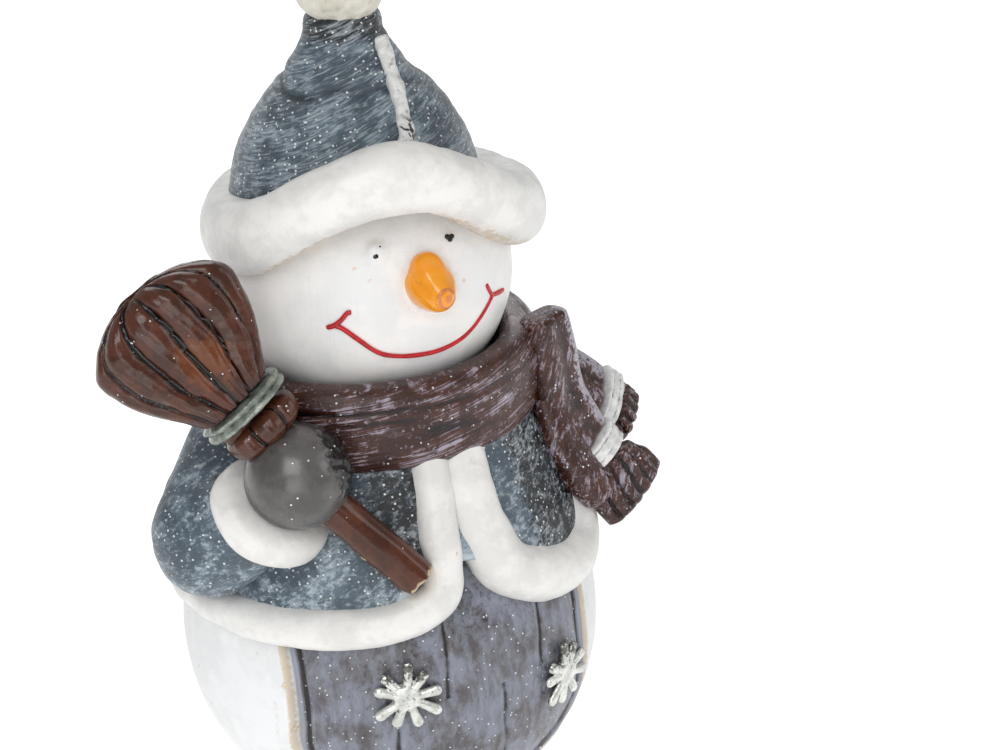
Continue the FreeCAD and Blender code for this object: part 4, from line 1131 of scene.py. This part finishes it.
arms = {
    "right": {"shoulder": (-84, 57, 7, 7.6), "elbow": (-70, 38, 7.2, 8.2),
              "wrist": (-49.5, 45.7, 10.3, 6.6),
              "hand": (-39.4, 50.6, 15.5, 7.0), "cuffRadius": 8.2},
    "left": {"shoulder": (110, 53, 6, 6.2), "elbow": (119, 36, 5.6, 6.2), "wrist": (126, 24, 6.2, 5.6),
             "hand": (133, 12, 7, 6.4), "cuffRadius": 8.0},
    "cuffHeight": 6.6, "voxel": 0.38, "sleeveGap": 5.0,
}


def armPoint(arm, part):
    azimuth, latitude, standoff, _ = arms[arm][part]
    return onBelly(azimuth, latitude, standoff)


def makeArm(arm, creases):
    shoulder, elbow, wrist, hand = [armPoint(arm, part)
                                    for part in ("shoulder", "elbow", "wrist", "hand")]
    radii = [arms[arm][part][3] for part in ("shoulder", "elbow", "wrist")]
    reach = (hand - wrist).normalized()
    bm = bmesh.new()
    forearm = wrist - elbow
    sleeveEnd = elbow + forearm.normalized() * max(1.0, forearm.length - arms["sleeveGap"])
    for a, b, ra, rb in ((shoulder, elbow, radii[0], radii[1]), (elbow, sleeveEnd, radii[1], radii[2])):
        for step in range(13):
            share = step / 12
            bmesh.ops.create_icosphere(bm, subdivisions=4, radius=ra + (rb - ra) * share,
                                       matrix=Matrix.Translation(a.lerp(b, share)))
    bm = fuse(bm, arms["voxel"], rounds=8)

    def cloth(place):
        lump = 0.35 * bumpy(place, 6, 11) + 0.12 * bumpy(place, 2.4, 12)
        for seat, direction, width, deep in creases:
            offset = place - seat
            near = math.exp(-(offset.length / 7) ** 2)
            lump -= deep * math.exp(-(offset.dot(direction) / width) ** 2) * near
        return lump

    sculpt(bm, cloth)
    title = arm.capitalize()

    def paintedShade(place):
        # painted shade on the sleeve just under the wrist
        return 0.6 * smoothStep(7.5, 3.5, (place - wrist).length) * smoothStep(0, 3, wrist.z - place.z)
    addPiece("sleeve" + title, bm, coatPaint, "coat_grey", "sleeve_" + arm, shade=paintedShade)

    # cuff: a thick rounded roll round the wrist
    radius, half = arms[arm]["cuffRadius"], arms["cuffHeight"] / 2
    rows = 70
    bm = makeTube(rows, 110)
    for vert in bm.verts:
        gone, angle = math.hypot(vert.co.x, vert.co.y), math.atan2(vert.co.y, vert.co.x)
        turn = math.pi * (vert.co.z / (rows - 1) - 0.5)
        across, up = squared(turn, 3.0)
        wide = radius * max(0.0, across) * (gone > 0.5)
        vert.co = Vector((math.cos(angle) * wide, math.sin(angle) * wide, up * half))
    bmesh.ops.transform(bm, matrix=seatMatrix(wrist, reach), verts=bm.verts)
    bmesh.ops.recalc_face_normals(bm, faces=bm.faces)
    sculpt(bm, lambda place: 0.2 * bumpy(place, 5, 13) + 0.06 * bumpy(place, 1.8, 14))
    addPiece("cuff" + title, bm, furPaint, "fur_white", "cuff_" + arm)

    # mitten: a ball with crust where it meets the cuff
    bm = bmesh.new()
    bmesh.ops.create_icosphere(bm, subdivisions=6, radius=arms[arm]["hand"][3],
                               matrix=Matrix.Translation(hand))
    crustSide = Vector((0.93, -0.25, 0.3)).normalized()

    def skin(place):
        side = (place - hand).normalized().dot(crustSide)
        crust = smoothStep(0.55, 0.8, side) * 0.4 * bumpy(place, 0.9, 15)
        return 0.15 * bumpy(place, 6, 16) + crust

    sculpt(bm, skin)

    def black(place):
        side = (place - hand).normalized().dot(crustSide)
        seat = (place - wrist).dot(reach) - arms["cuffHeight"] / 2
        return max(0.75 * smoothStep(0.55, 0.85, side), smoothStep(2.4, 1.5, seat))
    addPiece("mitten" + title, bm, mittenPaint, "mitten_pewter", "mitten_" + arm, shade=black)


makeArm("right", ((Vector((-33, -12, 55)), Vector((0.5, 0.2, -0.8)), 0.7, 0.7),))
makeArm("left", ((Vector((30, 14, 44)), Vector((0.3, 0.2, -0.9)), 0.7, 0.6),))


# Broom

broom = {
    "direction": (-0.571, 0.260, 0.779), "face": (-0.168, -0.966, 0.199),
    "handleDirection": (-0.626, 0.274, 0.731), "handleRadius": 2.7, "below": 21.9, "above": 18.0,
    "offset": 1.6, "collar": (5.6, 10.2), "tie": (10.3, 13.0), "fanStart": 13.1, "fanLength": 15.9,
    "neck": (5.6, 4.2), "fan": (11.3, 4.7), "ribs": 4.8, "arch": 2.9,
}
broomDirection = Vector(broom["direction"]).normalized()
broomFace = Vector(broom["face"]).normalized()
broomSide = broomDirection.cross(broomFace).normalized()
handleDirection = Vector(broom["handleDirection"]).normalized()
hand = armPoint("right", "hand")


def broomStation(distance, halfWidth, halfDepth):
    spot = hand + broomDirection * distance + broomSide * broom["offset"]
    return (*spot, halfWidth, halfDepth)


def makeHandle():
    start = hand - handleDirection * broom["below"]
    end = hand + handleDirection * broom["above"]
    radius = broom["handleRadius"]
    stations = [(*start.lerp(end, k / 6), radius, radius) for k in range(7)]

    def chipped(share, across, lift):
        # grain along the stick and a knocked lower end
        return -0.3 * smoothStep(0.05, 0.0, share) * (1 + math.sin(across * 5 + lift * 3))
    bm = sweep(stations, broomFace, 200, 60, power=2.2, endRound=0.7, swell=chipped)
    axis = handleDirection

    def grain(place):
        offset = place - start
        length = offset.dot(axis)
        round_ = offset - axis * length
        return (0.1 * bumpy((round_.x * 2.2, round_.z * 2.2 + round_.y * 2, length * 0.12), 1.6, 17)
                + 0.12 * bumpy(place, 4, 18) - 0.06)
    sculpt(bm, grain)

    def cream(place):
        length = (place - start).dot(axis)
        side = (place - start - axis * length).dot(broomSide)
        edge = smoothStep(0.8, 0.98, -side / radius) * smoothStep(0.0, 0.35, bumpy(place, 1.6, 33))
        return max(0.9 * smoothStep(1.3, 0.2, length + 0.6 * bumpy(place, 1.4, 3)), 0.8 * edge)
    addPiece("broomStick", bm, handlePaint, "broom_brown", "broom_handle", shade=cream)


def makeFan():
    start, length = broom["fanStart"], broom["fanLength"]
    neck, wide = broom["neck"], broom["fan"]
    stations = [broomStation(start, neck[0], neck[1])]
    for share, w, d in ((0.15, 0.62, 0.92), (0.3, 0.76, 0.94), (0.45, 0.87, 0.98), (0.6, 0.95, 1.0),
                        (0.75, 1.0, 0.98), (0.9, 0.99, 0.9), (1.0, 0.93, 0.74)):
        stations.append(broomStation(start + length * share, wide[0] * w, wide[1] * d))

    def ribs(share, across, lift):
        # rounded bundles of bristle with sharp wavy valleys between them
        wave = 0.07 * math.sin(share * 6 + across * 3) + 0.025 * math.sin(share * 15 + across * 8)
        phase = across * broom["ribs"] / 2 + wave + (0.25 if lift < 0 else 0.0)
        valley = 1 - abs(math.sin(math.pi * phase)) ** 0.3
        fine = 0.05 * math.sin(across * 46 + 2 * math.sin(share * 9)) * abs(lift)
        depth = 0.9 + 0.9 * smoothStep(0.05, 0.6, share)
        step = 0.55 * (phase % 1.0 - 0.5) * abs(lift)
        return -valley * depth * min(1.0, abs(lift) * 1.6 + 0.2) + fine + step

    bm = sweep(stations, broomFace, 170, 300, power=2.3, endRound=(0.0, 3.4), swell=ribs)
    # the far edge is arched, so the bristle tips round over
    foot = hand + broomDirection * start + broomSide * broom["offset"]
    for vert in bm.verts:
        offset = vert.co - foot
        share = offset.dot(broomDirection) / length
        across = min(1.0, abs(offset.dot(broomSide)) / wide[0])
        vert.co += broomDirection * broom["arch"] * (1 - across ** 2.4) * smoothStep(0.55, 1.0, share)
    sculpt(bm, lambda place: 0.18 * bumpy(place, 3, 19) + 0.06 * bumpy(place, 1.2, 20) - 0.1)
    amber = hand + broomDirection * 20 + broomFace * 4 + broomSide * 2.5

    def wearAndRidgeHighlight(place):
        offset = place - amber
        return 0.9 * math.exp(-(offset.length / 4.2) ** 2)
    addPiece("broomFan", bm, broomPaint, "broom_brown", "broom_fan", shade=wearAndRidgeHighlight, rounds=10, depth=0.16)


def makeCollar():
    first, last = broom["collar"]
    neck = broom["neck"]
    stations = [broomStation(first + (last - first) * k / 4, neck[0] * (0.9 + 0.1 * k / 4),
                             neck[1] * (1.05 - 0.05 * k / 4)) for k in range(5)]

    def bundles(share, across, lift):
        valley = 1 - abs(math.sin(math.pi * (across * 1.15 + 0.35))) ** 0.4
        barrel = math.sin(math.pi * share)
        fine = 0.06 * math.sin(across * 30) * abs(lift)
        return 0.7 * barrel - 1.3 * valley * min(1, abs(lift) * 1.5) + fine - 0.5
    bm = sweep(stations, broomFace, 70, 160, power=2.3, endRound=1.3, swell=bundles)
    sculpt(bm, lambda place: 0.12 * bumpy(place, 2, 21))
    addPiece("broomCollar", bm, broomPaint, "broom_brown", "broom_collar", depth=0.14)


def makeBroomTie():
    first, last = broom["tie"]
    wide, deep = broom["neck"][0] + 0.6, broom["neck"][1] + 0.6
    stations = [broomStation(first + (last - first) * k / 4, wide, deep) for k in range(5)]

    def cords(share, across, lift):
        return 0.5 * abs(math.sin(math.pi * (share * 2 + 0.15 * across))) - 0.3
    bm = sweep(stations, broomFace, 60, 120, power=2.1, endRound=0.6, swell=cords)
    sculpt(bm, lambda place: 0.12 * bumpy(place, 1.8, 22) + 0.05 * bumpy(place, 0.8, 2))
    addPiece("broomTie", bm, tiePaint, "tie_silver", "broom_tie", depth=0.12, rounds=8)


makeHandle()
makeFan()
makeCollar()
makeBroomTie()


# Scarf

scarf = {
    "height": 12.0, "drop": 9.2, "inner": 17.6, "steps": 340, "sides": 96, "power": 3.2,
    "front": ((66, 8.2, 0.6, 3.6, 2.4), (67, 13.5, 0.9, 4.2, 3.0), (67, 20.5, 1.9, 4.3, 3.0),
              (68, 24.6, 3.6, 4.2, 2.9), (68.6, 28.2, 5.8, 3.9, 2.8)),
    "frontTie": ((68.6, 28.2, 5.8, 4.2, 3.1), (69.2, 31.1, 7.9, 4.2, 3.1)),
    "frontFringe": ((69.2, 31.1, 7.9, 4.2, 2.8), (68.5, 34.0, 9.8, 6.0, 3.3),
                    (68.5, 37.6, 12.6, 6.2, 2.8)),
    "frontFace": (0.35, -0.9, 0.25),
    "lobe": ((62, 19.5, 0.6, 2.3, 1.6), (60, 25.5, 2.4, 2.8, 2.1), (60, 31, 4.8, 3.0, 2.3),
             (61, 35.6, 8.0, 2.7, 2.2)),
    "back": ((82, 17.0, -1.0, 4.6, 2.4), (84, 21.5, 4.0, 4.8, 2.6), (84.5, 25.6, 8.6, 4.8, 2.6)),
    "backTie": ((84.5, 25.6, 8.6, 5.2, 3.0), (84.8, 27.6, 10.8, 5.2, 3.0)),
    "backFringe": ((84.8, 27.6, 10.8, 4.9, 2.7), (85, 30.4, 13.4, 5.0, 2.8)),
    "backFace": (0.8, -0.6, 0.1),
}


def makeScarfRing():
    bm = makeRing(scarf["steps"], scarf["sides"])
    bmesh.ops.remove_doubles(bm, verts=bm.verts, dist=0.0001)
    middle = headCentre.z - scarf["drop"] - scarf["height"] / 2
    halfDepth = (figure["scarfRadius"] - scarf["inner"]) / 2
    for vert in bm.verts:
        flat = math.hypot(vert.co.x, vert.co.y)
        azimuth = math.degrees(math.atan2(vert.co.x, -vert.co.y))
        angle = math.atan2(vert.co.z, flat - 2)
        out, up = squared(angle, scarf["power"])
        vert.co = aim(azimuth, 0) * (scarf["inner"] + halfDepth + out * halfDepth)
        vert.co.z = middle + up * scarf["height"] / 2
    bmesh.ops.recalc_face_normals(bm, faces=bm.faces)

    def folds(place):
        azimuth = azimuthOf(place)
        level = (place.z - middle) / scarf["height"]
        slant = azimuth / 60 + 0.4 * bumpy((azimuth / 20, 0, 0), 1, 4)
        wave = math.sin((level * 1.6 + slant * 0.5) * math.pi)
        fold = -0.3 * (1 - abs(wave) ** 0.7)
        lip = (0.35 * math.exp(-((level - 0.36) / 0.06) ** 2)
               - 0.4 * math.exp(-((level - 0.26) / 0.04) ** 2))
        threads = 0.16 * bumpy((azimuth * 0.06, 0, place.z * 1.6 - azimuth * 0.03), 1.0, 24)
        fold += lip * (0.6 + 0.4 * bumpy((azimuth / 15, 0, 0), 1, 6))
        return (fold + threads + 0.25 * bumpy(place, 6, 25) - 0.1) * smoothStep(0.52, 0.3, abs(level))

    sculpt(bm, folds)
    addPiece("scarfRing", bm, scarfPaint, "scarf_brown", "scarf", rounds=10, depth=0.16)


def strip(rows):
    return [(*scarfSpot(azimuth, drop, out), wide, deep) for azimuth, drop, out, wide, deep in rows]


def makeTail(side):
    faceWay = Vector(scarf[side + "Face"])
    title = side.capitalize()

    def ridge(share, across, lift):
        # a pressed fold down the front
        fold = 0.45 * math.exp(-((across - 0.45) / 0.3) ** 2) * (lift > 0)
        dip = -0.25 * math.exp(-((across + 0.2) / 0.3) ** 2) * (lift > 0)
        return fold + dip - 0.15
    bm = sweep(strip(scarf[side]), faceWay, 150, 110, power=2.8, endRound=1.4, swell=ridge)
    if side == "front":
        # the under layer shows beside the tie
        mergeIn(bm, sweep(strip(scarf["lobe"]), faceWay, 90, 70, power=2.4, endRound=(1.2, 2.2)))
    sculpt(bm, lambda place: 0.2 * bumpy(place, 4, 26) + 0.06 * bumpy(place, 1.5, 27))
    rows = strip(scarf[side])
    line = [Vector(along(rows, k / 40)[:3]) for k in range(41)]
    across = faceWay.normalized().cross((line[-1] - line[0]).normalized()).normalized()

    def pale(place):
        nearest = min(line, key=lambda spot: (spot - place).length)
        return 0.75 * smoothStep(1.2, 2.6, (place - nearest).dot(across))
    addPiece("scarfTail" + title, bm, tailPaint, "scarf_brown", "scarf_tail_" + side, shade=pale)

    def cords(share, across, lift):
        return 0.3 * abs(math.sin(math.pi * share * 3)) - 0.25
    bm = sweep(strip(scarf[side + "Tie"]), faceWay, 60, 120, power=2.6, endRound=0.6, swell=cords)
    sculpt(bm, lambda place: 0.15 * bumpy(place, 1.8, 28) + 0.06 * bumpy(place, 0.8, 29))
    addPiece("tailTie" + title, bm, whiteTiePaint, "tie_white", "tail_tie_" + side, depth=0.12,
             rounds=8)

    def strands(share, across, lift):
        phase = across * 2.4 + 0.12 * math.sin(share * 6)
        valley = 1 - abs(math.sin(math.pi * phase)) ** 0.5
        return -0.95 * valley * min(1.0, abs(lift) * 1.8 + 0.25) * smoothStep(0.0, 0.35, share) - 0.05
    bm = sweep(strip(scarf[side + "Fringe"]), faceWay, 110, 200, power=2.6, endRound=1.2, swell=strands)
    sculpt(bm, lambda place: 0.15 * bumpy(place, 2, 30) - 0.05)
    addPiece("tailFringe" + title, bm, tailPaint, "scarf_brown", "tail_fringe_" + side, rounds=10,
             depth=0.16)


makeScarfRing()
makeTail("front")
makeTail("back")


# Floor, light and camera

studio = {
    "floorSize": 3.0, "worldLight": 0.38, "floorGlow": 0.45,
    # place, size, strength in watts, aimed at the figure's middle; metres
    "lights": (("keyPanel", (-0.32, -0.5, 0.62), 0.45, 2.4),
               ("fillPanel", (0.6, -0.35, 0.35), 0.4, 0.8),
               ("frontPanel", (-0.35, -0.7, 0.16), 0.4, 1.0), ("rimPanel", (0.1, 0.6, 0.5), 0.5, 1.4)),
}


def makeFloor():
    bm = bmesh.new()
    bmesh.ops.create_grid(bm, x_segments=1, y_segments=1, size=studio["floorSize"])
    mesh = bpy.data.meshes.new("floor")
    bm.to_mesh(mesh)
    bm.free()
    floor = bpy.data.objects.new("floor", mesh)
    bpy.context.scene.collection.objects.link(floor)
    card = bpy.data.materials.new("whiteStudioCard")
    card.use_nodes = True
    shader = card.node_tree.nodes["Principled BSDF"]
    shader.inputs["Base Color"].default_value = (0.93, 0.93, 0.93, 1)
    shader.inputs["Roughness"].default_value = 0.8
    shader.inputs["Specular IOR Level"].default_value = 0.0
    shader.inputs["Emission Color"].default_value = (1, 1, 1, 1)
    shader.inputs["Emission Strength"].default_value = studio["floorGlow"]
    mesh.materials.append(card)


def makeLights():
    world = bpy.data.worlds.new("softWhiteRoom")
    bpy.context.scene.world = world
    world.use_nodes = True
    sky = world.node_tree.nodes["Background"]
    sky.inputs["Color"].default_value = (1, 1, 1, 1)
    sky.inputs["Strength"].default_value = studio["worldLight"]
    target = Vector((0, 0, 0.065))
    for name, place, size, power in studio["lights"]:
        data = bpy.data.lights.new(name, "AREA")
        data.shape = "SQUARE"
        data.size = size
        data.energy = power
        lamp = bpy.data.objects.new(name, data)
        bpy.context.scene.collection.objects.link(lamp)
        lamp.location = place
        lamp.rotation_euler = (target - Vector(place)).to_track_quat("-Z", "Y").to_euler()


view = {"azimuth": -20.5, "elevation": 24.0, "roll": 3.5, "distance": 0.380, "lens": 99.13,
        "height": 0.0585, "shiftAcross": 0.0177}


def makeCamera():
    a, e = math.radians(view["azimuth"]), math.radians(view["elevation"])
    roll = math.radians(view["roll"])
    back = Vector((math.sin(a) * math.cos(e), -math.cos(a) * math.cos(e), math.sin(e)))
    right = Vector((math.cos(a), math.sin(a), 0))
    up = back.cross(right)
    cameraX = right * math.cos(roll) - up * math.sin(roll)
    cameraY = right * math.sin(roll) + up * math.cos(roll)
    data = bpy.data.cameras.new("camera")
    data.sensor_width = 36
    data.lens = view["lens"]
    data.clip_start = 0.01
    camera = bpy.data.objects.new("camera", data)
    bpy.context.scene.collection.objects.link(camera)
    target = Vector((0, 0, view["height"])) + right * view["shiftAcross"]
    turn = Matrix((cameraX, cameraY, back)).transposed().to_4x4()
    camera.matrix_world = Matrix.Translation(target + back * view["distance"]) @ turn
    bpy.context.scene.camera = camera


makeFloor()
makeLights()
makeCamera()
bpy.context.scene.view_settings.view_transform = "Standard"
print("studio ready")
